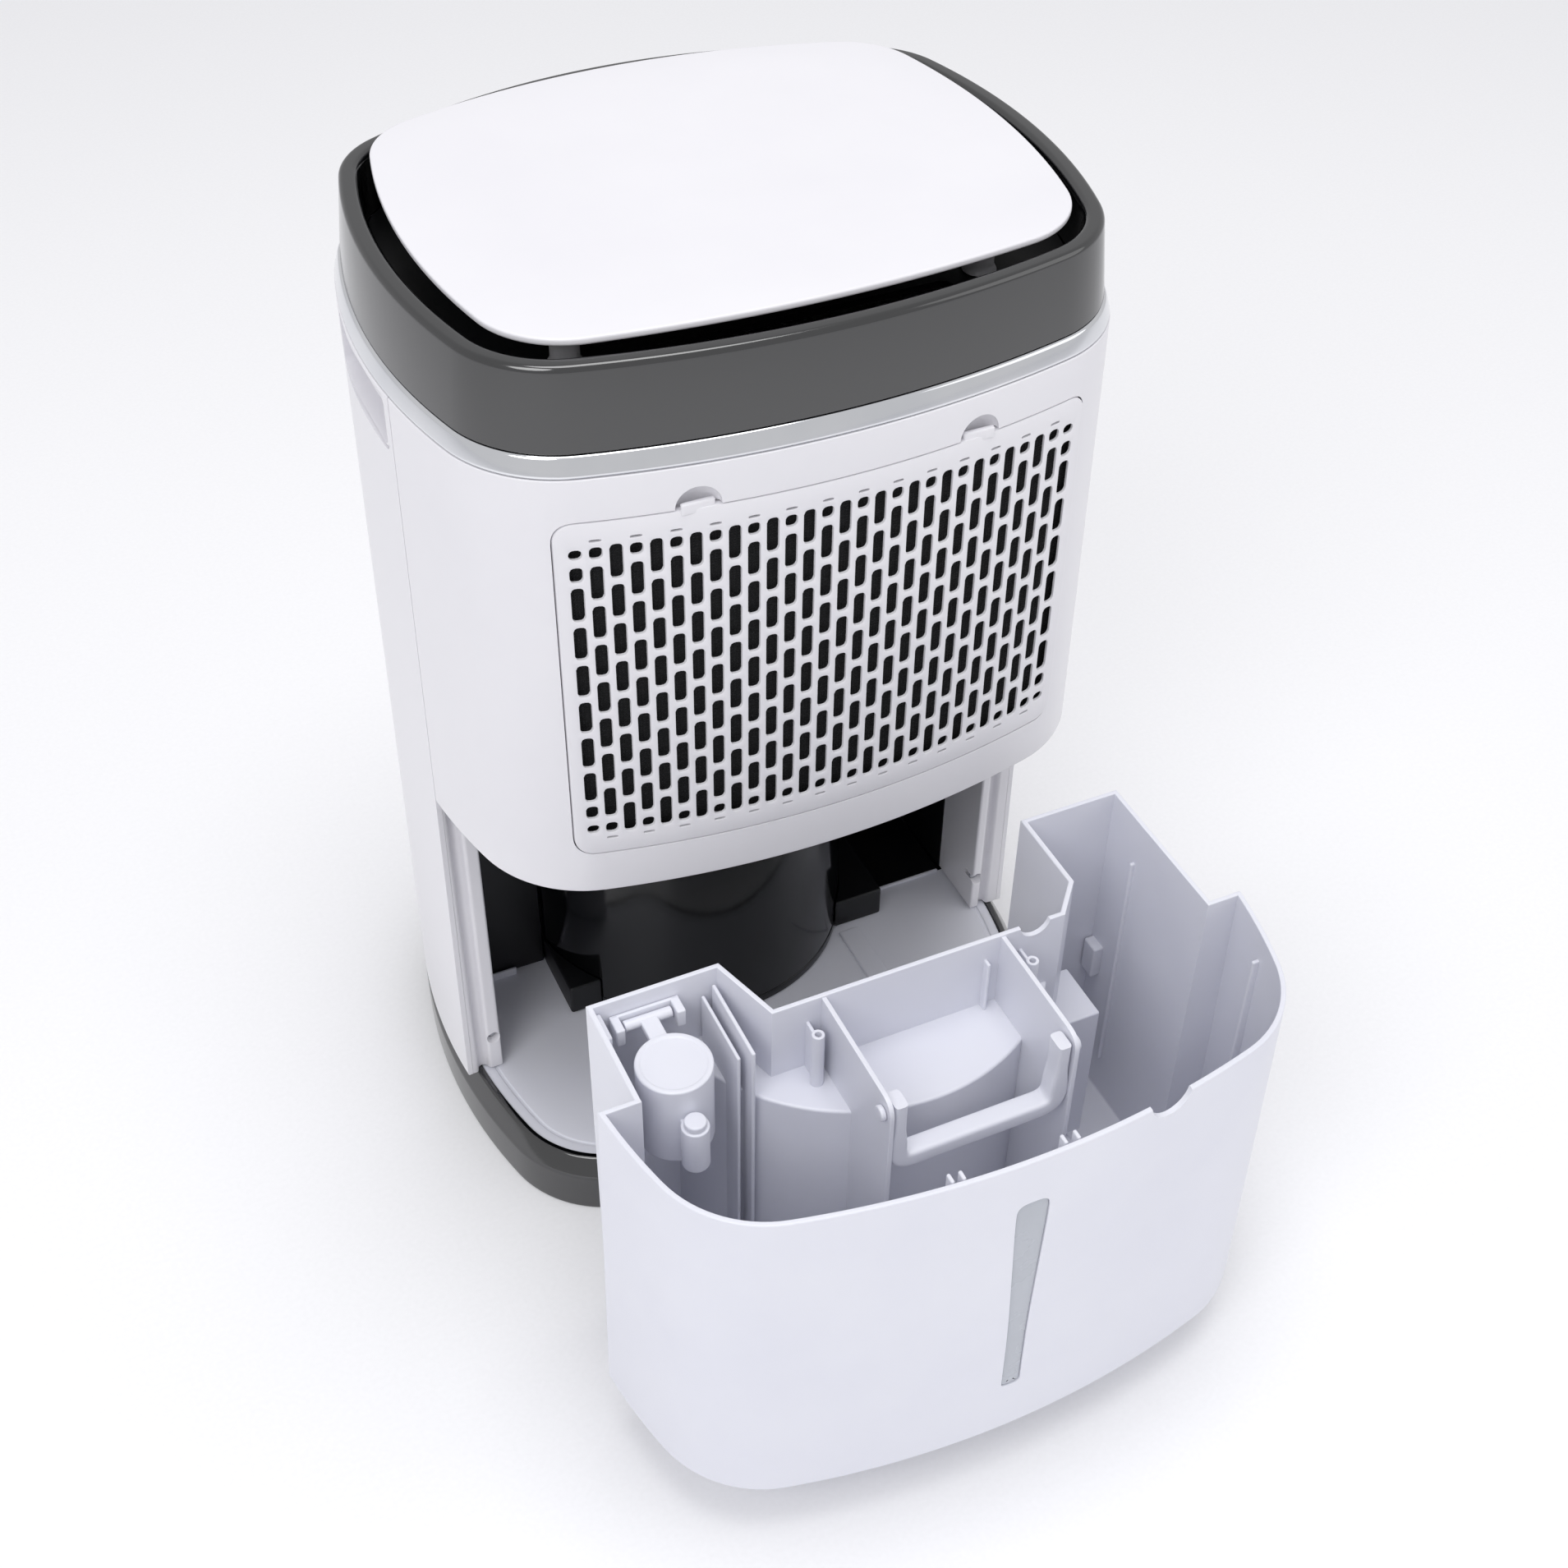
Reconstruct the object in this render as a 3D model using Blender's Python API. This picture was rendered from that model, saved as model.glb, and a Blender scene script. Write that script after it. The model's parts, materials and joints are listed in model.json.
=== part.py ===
"""Free-standing compressor dehumidifier with a pull-out water tank.

Sizes are in millimetres and MM turns them into metres where points are made.
The front faces -Y, the tank pulls out towards +Y, and the base stands on z = 0.
Every size that can be set by itself is named once below; all else follows from these.
"""

import math
from collections import namedtuple

import bmesh
import bpy
from mathutils import Matrix, Vector

MM = 0.001

# ---- Driving dimensions ----

# A plan is a closed outline of eight arcs: front, rear, two sides and four corners.
Plan = namedtuple(
    "Plan", "half_width rear front rear_radius front_radius side_radius rear_corner front_corner"
)
BODY_PLAN = Plan(150.6, 119.8, 128.1, 449.0, 261.0, 271.0, 48.0, 40.0)
PLATE_PLAN = Plan(135.4, 105.3, 116.1, 625.0, 332.0, 309.0, 40.0, 36.0)

GAP = 0.3  # between pieces that rest against each other
SEAM = 0.6  # visible joint between two cover pieces
WALL = 2.5  # moulded covers

HEIGHT = 500.0
BASE_HEIGHT = 34.0
LIP_HEIGHT = 231.7  # lower edge of the rear cover, above the tank
TRIM_HEIGHT = 450.6
TRIM_SIZE = 8.8
BAND_TOP = 495.4
FLARE_AT_FLOOR = 11.5  # how far the body stands out beyond BODY_PLAN
FLARE_AT_TRIM = 7.8
FLARE_AT_BAND = 4.2

RIM_WIDTH = 7.0  # glossy rim of the top band
TROUGH_DEPTH = 27.0
PLATE_THICKNESS = 3.6
POST_RADIUS = 6.0
POST_X = 92.0
POST_Y = 62.0

SEAM_Y = 30.0  # the front cover ends and the rear cover begins here
BAY_WALL_X = 140.5  # inner faces of the tank bay
DECK_THICKNESS = 3.0
PARTITION = 3.0  # black walls in front of the tank bay
LEFT_PARTITION_Y = -31.0
RIGHT_PARTITION_Y = -56.0
HEADER_Y = 2.0

TRAY_THICKNESS = 3.0
TRAY_DROP = 1.0  # tray face below the top of the base

DOME_X = 7.0
DOME_Y = -42.0
DOME_RADIUS = 88.0
DOME_TOP = 180.0
SWITCHES = {  # each block's x and y range
    "left": (70.0, 95.0, -30.0, 12.0),
    "right": (-92.0, -58.0, -52.0, 12.0),
}
SWITCH_HEIGHT = 19.0
SWITCH_MARGIN = 3.0
TAB_WIDTH = 16.0
TAB_LENGTH = 9.0
TAB_HEIGHT = 5.6  # with its screw

PANEL_HALF_WIDTH = 118.6
PANEL_BOTTOM = 255.0
PANEL_TOP = 430.5
PANEL_CORNER = 9.0
PANEL_DEPTH = 3.0
SLOT_COLUMNS = 29
SLOT_MARGIN = 4.0  # plain border beside the outermost columns
SLOT_END_MARGIN = 11.2  # plain border above and below the slots
SLOT_WIDTH = 4.5
SLOT_LENGTH = 15.2
SLOT_PITCH = 19.5
NOTCH_X = 62.0  # finger notches in the cover, above the panel
NOTCH_RADIUS = 9.5
FILTER_THICKNESS = 4.0

TANK_TRAVEL = 198.0
TANK_LIFT = 1.0  # tank underside above the top of the base
TANK_HEIGHT = 193.0
TANK_WALL = 2.4
TANK_FLOOR = 2.8
TANK_FLARE_RIM = 6.5
TANK_FLARE_BOTTOM = 10.0
TANK_CLEARANCE = 1.5  # side clearance of the tank in its bay
LEG_LEFT_FRONT = -24.0
LEG_RIGHT_FRONT = -49.0
LEG_RIGHT_INNER = -87.0
RECESS_Y = 10.0  # inner wall of the tank behind the compressor cover
RECESS_LEFT = 66.7
RECESS_LEFT_FRONT = 77.5
RECESS_RIGHT = -74.0
DOME_CLEARANCE = 4.0
DIVIDER_X = 45.0
DIVIDER_END = 78.0
DIVIDER_THICKNESS = 2.2
WINDOW_X = 3.0
WINDOW_TOP = 166.0
WINDOW_BOTTOM = 34.0
WINDOW_TOP_WIDTH = 15.0
WINDOW_BOTTOM_WIDTH = 9.0
WINDOW_DEPTH = 1.4

BAIL_PIVOT_Y = 72.0
BAIL_PIVOT_DROP = 10.0  # pivot below the rim
BAIL_REACH = 38.0
BAIL_BAR = 9.0
PIN_RADIUS = 2.0

FLOAT_X = 114.0
FLOAT_Y = 13.0
FLOAT_RADIUS = 17.0
FLOAT_HEIGHT = 46.0
FLOAT_DROP = 9.0  # float top below the rim
MAGNET_RADIUS = 5.0

COIL_BOTTOM = 252.0
COIL_TOP = 428.0
COIL_HALF_WIDTH = 104.0
EVAPORATOR_Y = 76.0
EVAPORATOR_DEPTH = 22.0
CONDENSER_Y = 46.0
CONDENSER_DEPTH = 24.0
COIL_TUBE_RADIUS = 4.0
FAN_Z = 342.0
FAN_RADIUS = 82.0
FAN_DEPTH = 26.0
FAN_BLADES = 7
FAN_CLEARANCE = 3.0
SHROUD_Y = 38.0
MOTOR_RADIUS = 36.0
MOTOR_LENGTH = 42.0
SHAFT_RADIUS = 4.0

COMPRESSOR_RADIUS = 54.0
COMPRESSOR_HEIGHT = 118.0
PIPE_RADIUS = 4.0
PIPE_HOLE = 1.5  # clearance round a pipe where it passes a wall

CONTROL_HALF_WIDTH = 64.0
CONTROL_BOTTOM = 465.0
CONTROL_TOP = 488.0
BUTTON_RADIUS = 4.5
BUTTON_TRAVEL = 1.0
BUTTON_PROUD = 1.6
BUTTON_CLEARANCE = 0.4
BUTTON_XS = (-50.0, -33.0, 33.0, 50.0)
LENS_HALF_WIDTH = 19.0
LENS_MARGIN = 4.0

GRIP_FRONT = -46.0
GRIP_REAR = 24.0
GRIP_BOTTOM = 424.0
GRIP_TOP = 446.0
GRIP_DEPTH = 17.0
GRIP_WALL = 2.0

FOOT_RADIUS = 11.0
FOOT_DEPTH = 1.8
FOOT_X = 112.0
FOOT_FRONT = 84.0
FOOT_REAR = 82.0
SCREW_RADIUS = 2.6
GLAND_Z = 62.0
GLAND_Y = -12.0
GLAND_RADIUS = 7.0

# ---- Sizes that follow ----

TRIM_TOP = TRIM_HEIGHT + TRIM_SIZE
BAND_BOTTOM = TRIM_TOP + GAP
TROUGH_FLOOR = BAND_TOP - TROUGH_DEPTH
TRAY_TOP = BASE_HEIGHT - TRAY_DROP
BAY_FLOOR = BASE_HEIGHT + GAP
TANK_BOTTOM = BASE_HEIGHT + TANK_LIFT
TANK_TOP = TANK_BOTTOM + TANK_HEIGHT
DECK_BOTTOM = LIP_HEIGHT + 1.0
DECK_TOP = DECK_BOTTOM + DECK_THICKNESS
TANK_SIDE = BAY_WALL_X - TANK_CLEARANCE
EAR_Y = SEAM_Y + TANK_CLEARANCE
SHELF_TOP = DOME_TOP + DOME_CLEARANCE + TANK_WALL
WHITE = "E9E9EE"
BLACK = "0B0C0E"

ARC_STEPS = {"front": 5, "corner": 4, "side": 5, "rear": 6}


# ---- Scene and materials ----


def clear_scene():
    for item in list(bpy.data.objects):
        bpy.data.objects.remove(item, do_unlink=True)


def linear(channel):
    return channel / 12.92 if channel <= 0.04045 else ((channel + 0.055) / 1.055) ** 2.4


def material(name, colour, roughness, metallic=0.0):
    made = bpy.data.materials.new(name)
    made.use_nodes = True
    shader = made.node_tree.nodes["Principled BSDF"]
    channels = [linear(int(colour[i : i + 2], 16) / 255) for i in (0, 2, 4)]
    shader.inputs["Base Color"].default_value = (*channels, 1.0)
    shader.inputs["Roughness"].default_value = roughness
    shader.inputs["Metallic"].default_value = metallic
    made.diffuse_color = (*channels, 1.0)
    return made


# ---- Meshes ----


def finish(bm, name, surface=None, place=(0, 0, 0), parent=None):
    """Makes the object of a bmesh in millimetres; place is its origin, in world millimetres."""
    bmesh.ops.remove_doubles(bm, verts=bm.verts, dist=1e-5)
    bmesh.ops.recalc_face_normals(bm, faces=bm.faces)
    offset = Vector(place)
    for vert in bm.verts:
        vert.co = (vert.co - offset) * MM
    mesh = bpy.data.meshes.new(name)
    bm.to_mesh(mesh)
    bm.free()
    made = bpy.data.objects.new(name, mesh)
    bpy.context.scene.collection.objects.link(made)
    origin = offset * MM
    if parent is not None:
        made.parent = parent
        origin = origin - parent_place(parent)
    made.location = origin
    if surface is None:
        made.hide_render = True
        made.display_type = "WIRE"
    else:
        mesh.materials.append(surface)
        mesh.shade_smooth()
        mesh.set_sharp_from_angle(angle=math.radians(32))
    return made


def parent_place(item):
    place = Vector(item.location)
    return place + parent_place(item.parent) if item.parent else place


def empty(name, place, parent=None):
    made = bpy.data.objects.new(name, None)
    bpy.context.scene.collection.objects.link(made)
    made.empty_display_size = 0.02
    made.parent = parent
    made.location = Vector(place) * MM - (parent_place(parent) if parent else Vector())
    return made


def loft(rings, closed=False):
    """Joins rings of equal length. A closed loft runs back to the first ring; an open one is capped."""
    bm = bmesh.new()
    rows = [[bm.verts.new(point) for point in ring] for ring in rings]
    pairs = list(zip(rows, rows[1:]))
    if closed:
        pairs.append((rows[-1], rows[0]))
    count = len(rows[0])
    for low, high in pairs:
        for i in range(count):
            j = (i + 1) % count
            bm.faces.new((low[i], low[j], high[j], high[i]))
    if not closed:
        bm.faces.new(rows[0][::-1])
        bm.faces.new(rows[-1])
    return bm


def flat_ring(points, z):
    return [(x, y, z) for x, y in points]


def prism(points, bottom, top):
    return loft([flat_ring(points, bottom), flat_ring(points, top)])


def prism_y(points, rear, front):
    """A prism along Y whose outline is given as (x, z)."""
    return loft([[(x, rear, z) for x, z in points], [(x, front, z) for x, z in points]])


def box(x0, x1, y0, y1, z0, z1):
    return prism([(x0, y0), (x1, y0), (x1, y1), (x0, y1)], z0, z1)


def circle(x, y, radius, steps, phase=0.0):
    turn = 2 * math.pi / steps
    return [
        (x + radius * math.cos(phase + i * turn), y + radius * math.sin(phase + i * turn))
        for i in range(steps)
    ]


def cylinder_z(x, y, radius, bottom, top, steps=24):
    return prism(circle(x, y, radius, steps, math.pi / steps), bottom, top)


def cylinder_y(x, z, radius, y0, y1, steps=24):
    return prism_y(circle(x, z, radius, steps, math.pi / steps), y0, y1)


def cylinder_x(y, z, radius, x0, x1, steps=24):
    ring = circle(y, z, radius, steps, math.pi / steps)
    return loft([[(x0, a, b) for a, b in ring], [(x1, a, b) for a, b in ring]])


def turned(x, y, profile, steps=28):
    """A body turned about Z from (radius, z) pairs; its ends are capped."""
    return loft([flat_ring(circle(x, y, radius, steps, math.pi / steps), z) for radius, z in profile])


def turned_y(x, z, profile, steps=28):
    """A body turned about Y from (radius, y) pairs; its ends are capped."""
    rings = []
    for radius, y in profile:
        rings.append([(a, y, b) for a, b in circle(x, z, radius, steps, math.pi / steps)])
    return loft(rings)


def combine(target, tool, operation="DIFFERENCE"):
    """Adds a Boolean modifier; the tool is a guide that isn't rendered."""
    cut = target.modifiers.new(tool.name, "BOOLEAN")
    cut.operation = operation
    cut.solver = "EXACT"
    cut.object = tool
    tool.hide_render = True
    tool.display_type = "WIRE"
    return cut


def cut_with(target, bm, name):
    tool = finish(bm, name, parent=target.parent)
    combine(target, tool)
    return tool


def join_with(target, bm, name):
    tool = finish(bm, name, parent=target.parent)
    combine(target, tool, "UNION")
    return tool


# ---- Plan outlines ----


def arc(centre, radius, start, end, steps):
    angles = [start + (end - start) * i / steps for i in range(steps + 1)]
    return [(centre[0] + radius * math.cos(a), centre[1] + radius * math.sin(a)) for a in angles]


def angle_from(centre, point):
    return math.atan2(point[1] - centre[1], point[0] - centre[0])


def corner_centre(side, side_reach, end, end_reach):
    """Where circles of these radii round the side's and the end's centres meet, at greater x."""
    dx, dy = end[0] - side[0], end[1] - side[1]
    apart = math.hypot(dx, dy)
    along = (side_reach**2 - end_reach**2 + apart**2) / (2 * apart)
    across = math.sqrt(max(side_reach**2 - along**2, 0.0))
    ux, uy = dx / apart, dy / apart
    choices = [
        (side[0] + along * ux - sign * across * uy, side[1] + along * uy + sign * across * ux)
        for sign in (1, -1)
    ]
    return max(choices)


def half_outline(plan, out, y_from=None, y_to=None):
    """The +X half of a plan set out by this much, from front to rear, or only from or to a Y."""
    side_radius = plan.side_radius + out
    side = (plan.half_width + out - side_radius, 0.0)
    front_radius = plan.front_radius + out
    front = (0.0, front_radius - plan.front - out)
    rear_radius = plan.rear_radius + out
    rear = (0.0, plan.rear + out - rear_radius)
    front_corner = plan.front_corner + out
    rear_corner = plan.rear_corner + out
    low = corner_centre(side, side_radius - front_corner, front, front_radius - front_corner)
    high = corner_centre(side, side_radius - rear_corner, rear, rear_radius - rear_corner)
    side_start = angle_from(side, low)
    side_end = angle_from(side, high)
    points = []
    if y_from is None:
        points += arc(front, front_radius, -math.pi / 2, angle_from(front, low), ARC_STEPS["front"])
        points += arc(low, front_corner, angle_from(front, low), side_start, ARC_STEPS["corner"])[1:]
    else:
        side_start = math.asin(y_from / side_radius)
        points.append((side[0] + side_radius * math.cos(side_start), y_from))
    if y_to is not None:
        side_end = math.asin(y_to / side_radius)
    points += arc(side, side_radius, side_start, side_end, ARC_STEPS["side"])[1:]
    if y_to is None:
        points += arc(high, rear_corner, side_end, angle_from(rear, high), ARC_STEPS["corner"])[1:]
        points += arc(rear, rear_radius, angle_from(rear, high), math.pi / 2, ARC_STEPS["rear"])[1:]
    return points


def mirrored(points):
    return [(-x, y) for x, y in reversed(points)]


def outline(plan, out):
    half = half_outline(plan, out)
    return half + mirrored(half)[1:-1]


def rear_outline(plan, out, y_from):
    half = half_outline(plan, out, y_from=y_from)
    return half + mirrored(half)[1:]


def front_outline(plan, out, y_to):
    half = half_outline(plan, out, y_to=y_to)
    return mirrored(half) + half[1:]


def flare(z):
    """How far the body stands out beyond its plan at a height."""
    return FLARE_AT_FLOOR + (FLARE_AT_TRIM - FLARE_AT_FLOOR) * z / TRIM_HEIGHT


def plan_rings(plan, profile):
    """Rings of a whole outline from (out, z) pairs."""
    return [flat_ring(outline(plan, out), z) for out, z in profile]


def open_wall(part, y_edge, bottom, top, wall):
    """A wall that follows part of the body, thick towards the inside."""
    rings = []
    for z in (bottom, top):
        outer = part(BODY_PLAN, flare(z), y_edge)
        inner = part(BODY_PLAN, flare(z) - wall, y_edge)
        rings.append(flat_ring(outer + inner[::-1], z))
    return loft(rings)


def face_y(x, z, rear):
    """Y of the body's rear or front face at this x, where the end arc runs."""
    out = flare(z)
    if rear:
        radius = BODY_PLAN.rear_radius + out
        return BODY_PLAN.rear + out - radius + math.sqrt(radius**2 - x**2)
    radius = BODY_PLAN.front_radius + out
    return radius - BODY_PLAN.front - out - math.sqrt(radius**2 - x**2)


def half_width_at(y, out):
    """Half the body's width at this Y, where the plan is set out by this much."""
    points = half_outline(BODY_PLAN, out)
    for (x0, y0), (x1, y1) in zip(points, points[1:]):
        if y0 <= y <= y1:
            return x0 + (x1 - x0) * (y - y0) / (y1 - y0)
    return BODY_PLAN.half_width + out


def inset(points, distance):
    """A counterclockwise outline moved inwards, with mitred corners."""
    moved = []
    count = len(points)
    for i, (x, y) in enumerate(points):
        before = Vector(points[i - 1])
        after = Vector(points[(i + 1) % count])
        here = Vector((x, y))
        normals = []
        for a, b in ((before, here), (here, after)):
            along = (b - a).normalized()
            normals.append(Vector((-along.y, along.x)))
        mitre = normals[0] + normals[1]
        moved.append(tuple(here + mitre * (2 * distance / mitre.length_squared)))
    return moved


def rounded(x0, x1, z0, z1, radius, steps=4):
    corners = (
        ((x1 - radius, z0 + radius), -math.pi / 2),
        ((x1 - radius, z1 - radius), 0.0),
        ((x0 + radius, z1 - radius), math.pi / 2),
        ((x0 + radius, z0 + radius), math.pi),
    )
    points = []
    for centre, start in corners:
        points += arc(centre, radius, start, start + math.pi / 2, steps)
    return points


# ---- Base ----


def make_base(black, white, rubber):
    tray_bottom = TRAY_TOP - TRAY_THICKNESS
    profile = [
        (FLARE_AT_FLOOR - 1.5, 0.0),
        (FLARE_AT_FLOOR, 1.5),
        (flare(BASE_HEIGHT), BASE_HEIGHT - 10.0),
        (flare(BASE_HEIGHT) - 6.0, BASE_HEIGHT),
        (flare(BASE_HEIGHT) - 9.0, BASE_HEIGHT),
        (flare(BASE_HEIGHT) - 9.0, tray_bottom - GAP),
        (flare(BASE_HEIGHT) - 14.0, tray_bottom - GAP),
        (flare(BASE_HEIGHT) - 14.0, 3.0 + FOOT_DEPTH),
    ]
    base = finish(loft(plan_rings(BODY_PLAN, profile)), "base_pan", black)
    for number, (sx, y) in enumerate(
        ((1, -FOOT_FRONT), (-1, -FOOT_FRONT), (1, FOOT_REAR), (-1, FOOT_REAR)), start=1
    ):
        x = sx * FOOT_X
        pocket = cylinder_z(x, y, FOOT_RADIUS + GAP, -1.0, FOOT_DEPTH + GAP, 16)
        cut_with(base, pocket, f"foot_pocket_{number}")
        pad = cylinder_z(x, y, FOOT_RADIUS, 0.0, FOOT_DEPTH, 16)
        finish(pad, f"foot_pad_{number}", rubber, place=(x, y, 0.0))
    tray = flare(BASE_HEIGHT) - 9.0 - GAP
    profile = [(tray, tray_bottom), (tray, TRAY_TOP)]
    finish(loft(plan_rings(BODY_PLAN, profile)), "tank_tray", white)


# ---- Covers ----


def make_covers(white, black, steel):
    bottom = BASE_HEIGHT + GAP
    wall = open_wall(front_outline, SEAM_Y, bottom, TRIM_HEIGHT - GAP, WALL)
    front = finish(wall, "front_cover", white)
    wall = open_wall(rear_outline, SEAM_Y + SEAM, LIP_HEIGHT, TRIM_HEIGHT - GAP, WALL)
    rear = finish(wall, "rear_cover", white)
    window = rounded(
        -PANEL_HALF_WIDTH - SEAM,
        PANEL_HALF_WIDTH + SEAM,
        PANEL_BOTTOM - SEAM,
        PANEL_TOP + SEAM,
        PANEL_CORNER,
    )
    far = BODY_PLAN.rear + FLARE_AT_FLOOR + 10.0
    cut_with(rear, prism_y(window, EVAPORATOR_Y, far), "grille_window")
    for side, sign in (("left", 1), ("right", -1)):
        notch = cylinder_y(sign * NOTCH_X, PANEL_TOP + SEAM, NOTCH_RADIUS, EVAPORATOR_Y, far, 24)
        cut_with(rear, notch, f"finger_notch_{side}")
    for side, sign in (("left", 1), ("right", -1)):
        inner = sign * BAY_WALL_X
        partition = LEFT_PARTITION_Y if sign > 0 else RIGHT_PARTITION_Y
        inside = flare(LIP_HEIGHT) - WALL - SEAM
        outer = sign * min(half_width_at(partition, inside), half_width_at(SEAM_Y, inside))
        x0, x1 = sorted((inner, outer))
        walls = box(x0, x1, partition, SEAM_Y, BAY_FLOOR, DECK_BOTTOM - GAP)
        bay = finish(walls, f"bay_side_{side}", white)
        middle = (x0 + x1) / 2
        for number, z in enumerate((TRAY_TOP + 24.0, LIP_HEIGHT - 22.0), start=1):
            hole = cylinder_y(middle, z, SCREW_RADIUS + GAP, SEAM_Y - 8.0, SEAM_Y + 1.0, 12)
            cut_with(bay, hole, f"screw_hole_{side}_{number}")
        screw = cylinder_y(middle, TRAY_TOP + 24.0, SCREW_RADIUS, SEAM_Y - 7.5, SEAM_Y - 2.0, 12)
        finish(screw, f"bay_screw_{side}", steel, place=(middle, SEAM_Y - 2.0, TRAY_TOP + 24.0))
    make_grips(front, white)
    hole = cylinder_x(GLAND_Y, GLAND_Z, GLAND_RADIUS + GAP, -200.0, -BAY_WALL_X - 10.0, 16)
    cut_with(front, hole, "gland_hole")
    reach = half_outline(BODY_PLAN, flare(GLAND_Z), y_to=SEAM_Y)[-1][0] + 5.0
    slot = cylinder_x(GLAND_Y, GLAND_Z, GLAND_RADIUS + GAP, -200.0, -BAY_WALL_X - 9.0, 16)
    cut_with(bpy.data.objects["bay_side_right"], slot, "gland_socket")
    gland = cylinder_x(GLAND_Y, GLAND_Z, GLAND_RADIUS, -reach, -BAY_WALL_X - 9.5, 16)
    made = finish(gland, "cord_gland", black)
    bore = cylinder_x(GLAND_Y, GLAND_Z, GLAND_RADIUS - 3.0, -reach - 5.0, -BAY_WALL_X - 14.0, 12)
    cut_with(made, bore, "gland_bore")


def make_grips(front, white):
    """Two moulded hand holds let into the sides of the front cover."""
    for side, sign in (("left", 1), ("right", -1)):
        middle = (GRIP_BOTTOM + GRIP_TOP) / 2
        face = half_outline(BODY_PLAN, flare(middle), y_to=GRIP_FRONT / 2)[-1][0]
        inner = face - GRIP_DEPTH
        grow = GRIP_WALL
        deep, wide = sorted((sign * (inner - grow), sign * (face + 5.0)))
        outer = box(deep, wide, GRIP_FRONT - grow, GRIP_REAR + grow, GRIP_BOTTOM - grow, GRIP_TOP + grow)
        cup = finish(outer, f"side_grip_{side}", white)
        skin = loft(plan_rings(BODY_PLAN, [(flare(z) - 0.4, z) for z in (GRIP_BOTTOM - 10, GRIP_TOP + 2.5)]))
        combine(cup, finish(skin, f"grip_skin_{side}"), "INTERSECT")
        deep, wide = sorted((sign * inner, sign * (face + 9.0)))
        hollow = box(deep, wide, GRIP_FRONT, GRIP_REAR, GRIP_BOTTOM, GRIP_TOP)
        cut_with(cup, hollow, f"grip_hollow_{side}")
        grow += GAP
        deep, wide = sorted((sign * (inner - 9.0), sign * (face + 9.0)))
        hole = box(deep, wide, GRIP_FRONT - grow, GRIP_REAR + grow, GRIP_BOTTOM - grow, GRIP_TOP + grow)
        cut_with(front, hole, f"grip_hole_{side}")


# ---- Tank bay ----


def make_bay(black, steel):
    low = BAY_FLOOR
    high = DECK_BOTTOM - GAP
    dome_edge = DOME_RADIUS + GAP
    for side, sign, y in (("left", 1, LEFT_PARTITION_Y), ("right", -1, RIGHT_PARTITION_Y)):
        reach = math.sqrt(dome_edge**2 - (y - PARTITION - DOME_Y) ** 2)
        near = math.sqrt(dome_edge**2 - (y - DOME_Y) ** 2)
        inner = DOME_X + sign * (max(reach, near) + GAP)
        x0, x1 = sorted((inner, sign * (BAY_WALL_X - GAP)))
        wall = box(x0, x1, y - PARTITION - GAP, y - GAP, low, high)
        finish(wall, f"bay_wall_{side}", black)
    x0 = RECESS_RIGHT - 4.0
    x1 = RECESS_LEFT - 4.0
    header = box(x0, x1, HEADER_Y - PARTITION, HEADER_Y, DOME_TOP + GAP, high)
    finish(header, "bay_header", black)
    inside = flare(DECK_TOP) - WALL - SEAM
    deck = loft(plan_rings(BODY_PLAN, [(inside, DECK_BOTTOM), (inside, DECK_TOP)]))
    made = finish(deck, "mid_deck", black)
    cover = [
        (DOME_RADIUS, low),
        (DOME_RADIUS, DOME_TOP - 5.0),
        (DOME_RADIUS - 5.0, DOME_TOP),
        (6.0, DOME_TOP),
        (6.0, DOME_TOP - WALL),
        (DOME_RADIUS - 6.0, DOME_TOP - WALL),
        (DOME_RADIUS - WALL, DOME_TOP - 6.0),
        (DOME_RADIUS - WALL, low),
    ]
    rings = [flat_ring(circle(DOME_X, DOME_Y, radius, 40), z) for radius, z in cover]
    dome = finish(loft(rings, closed=True), "compressor_cover", black)
    for x, y in pipe_places():
        hole = cylinder_z(x, y, PIPE_RADIUS + PIPE_HOLE, DOME_TOP - 9.0, DOME_TOP + 9.0, 12)
        cut_with(dome, hole, f"dome_pipe_hole_{'left' if x > 0 else 'right'}")
        hole = cylinder_z(x, y, PIPE_RADIUS + PIPE_HOLE, DECK_BOTTOM - 5.0, DECK_TOP + 5.0, 12)
        cut_with(made, hole, f"deck_pipe_hole_{'left' if x > 0 else 'right'}")
    for side, (x0, x1, y0, y1) in SWITCHES.items():
        block = box(x0, x1, y0, y1, low, low + SWITCH_HEIGHT)
        made = finish(block, f"tank_switch_{side}", black)
        clear = cylinder_z(DOME_X, DOME_Y, DOME_RADIUS + 2 * GAP, low - 9.0, DOME_TOP, 40)
        cut_with(made, clear, f"switch_cut_{side}")
    x0, x1, y0, y1 = tab_range()
    finish(box(x0, x1, y0, y1, low, low + 3.0), "dome_tab", bpy.data.materials["tank_plastic"])
    middle = (y0 + y1) / 2
    head = [(3.2, low + 3.0 + GAP), (3.2, low + TAB_HEIGHT - 1.0), (2.0, low + TAB_HEIGHT)]
    finish(turned(DOME_X, middle, head, 12), "dome_screw", steel, place=(DOME_X, middle, low + 3.0))


def tab_range():
    rear = DOME_Y + DOME_RADIUS + GAP
    return (DOME_X - TAB_WIDTH / 2, DOME_X + TAB_WIDTH / 2, rear, rear + TAB_LENGTH)


def pipe_places():
    """Where the two refrigerant pipes rise through the compressor cover and the deck."""
    return ((DOME_X + 30.0, DOME_Y + 10.0), (DOME_X - 40.0, DOME_Y + 10.0))


# ---- Top ----


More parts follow.
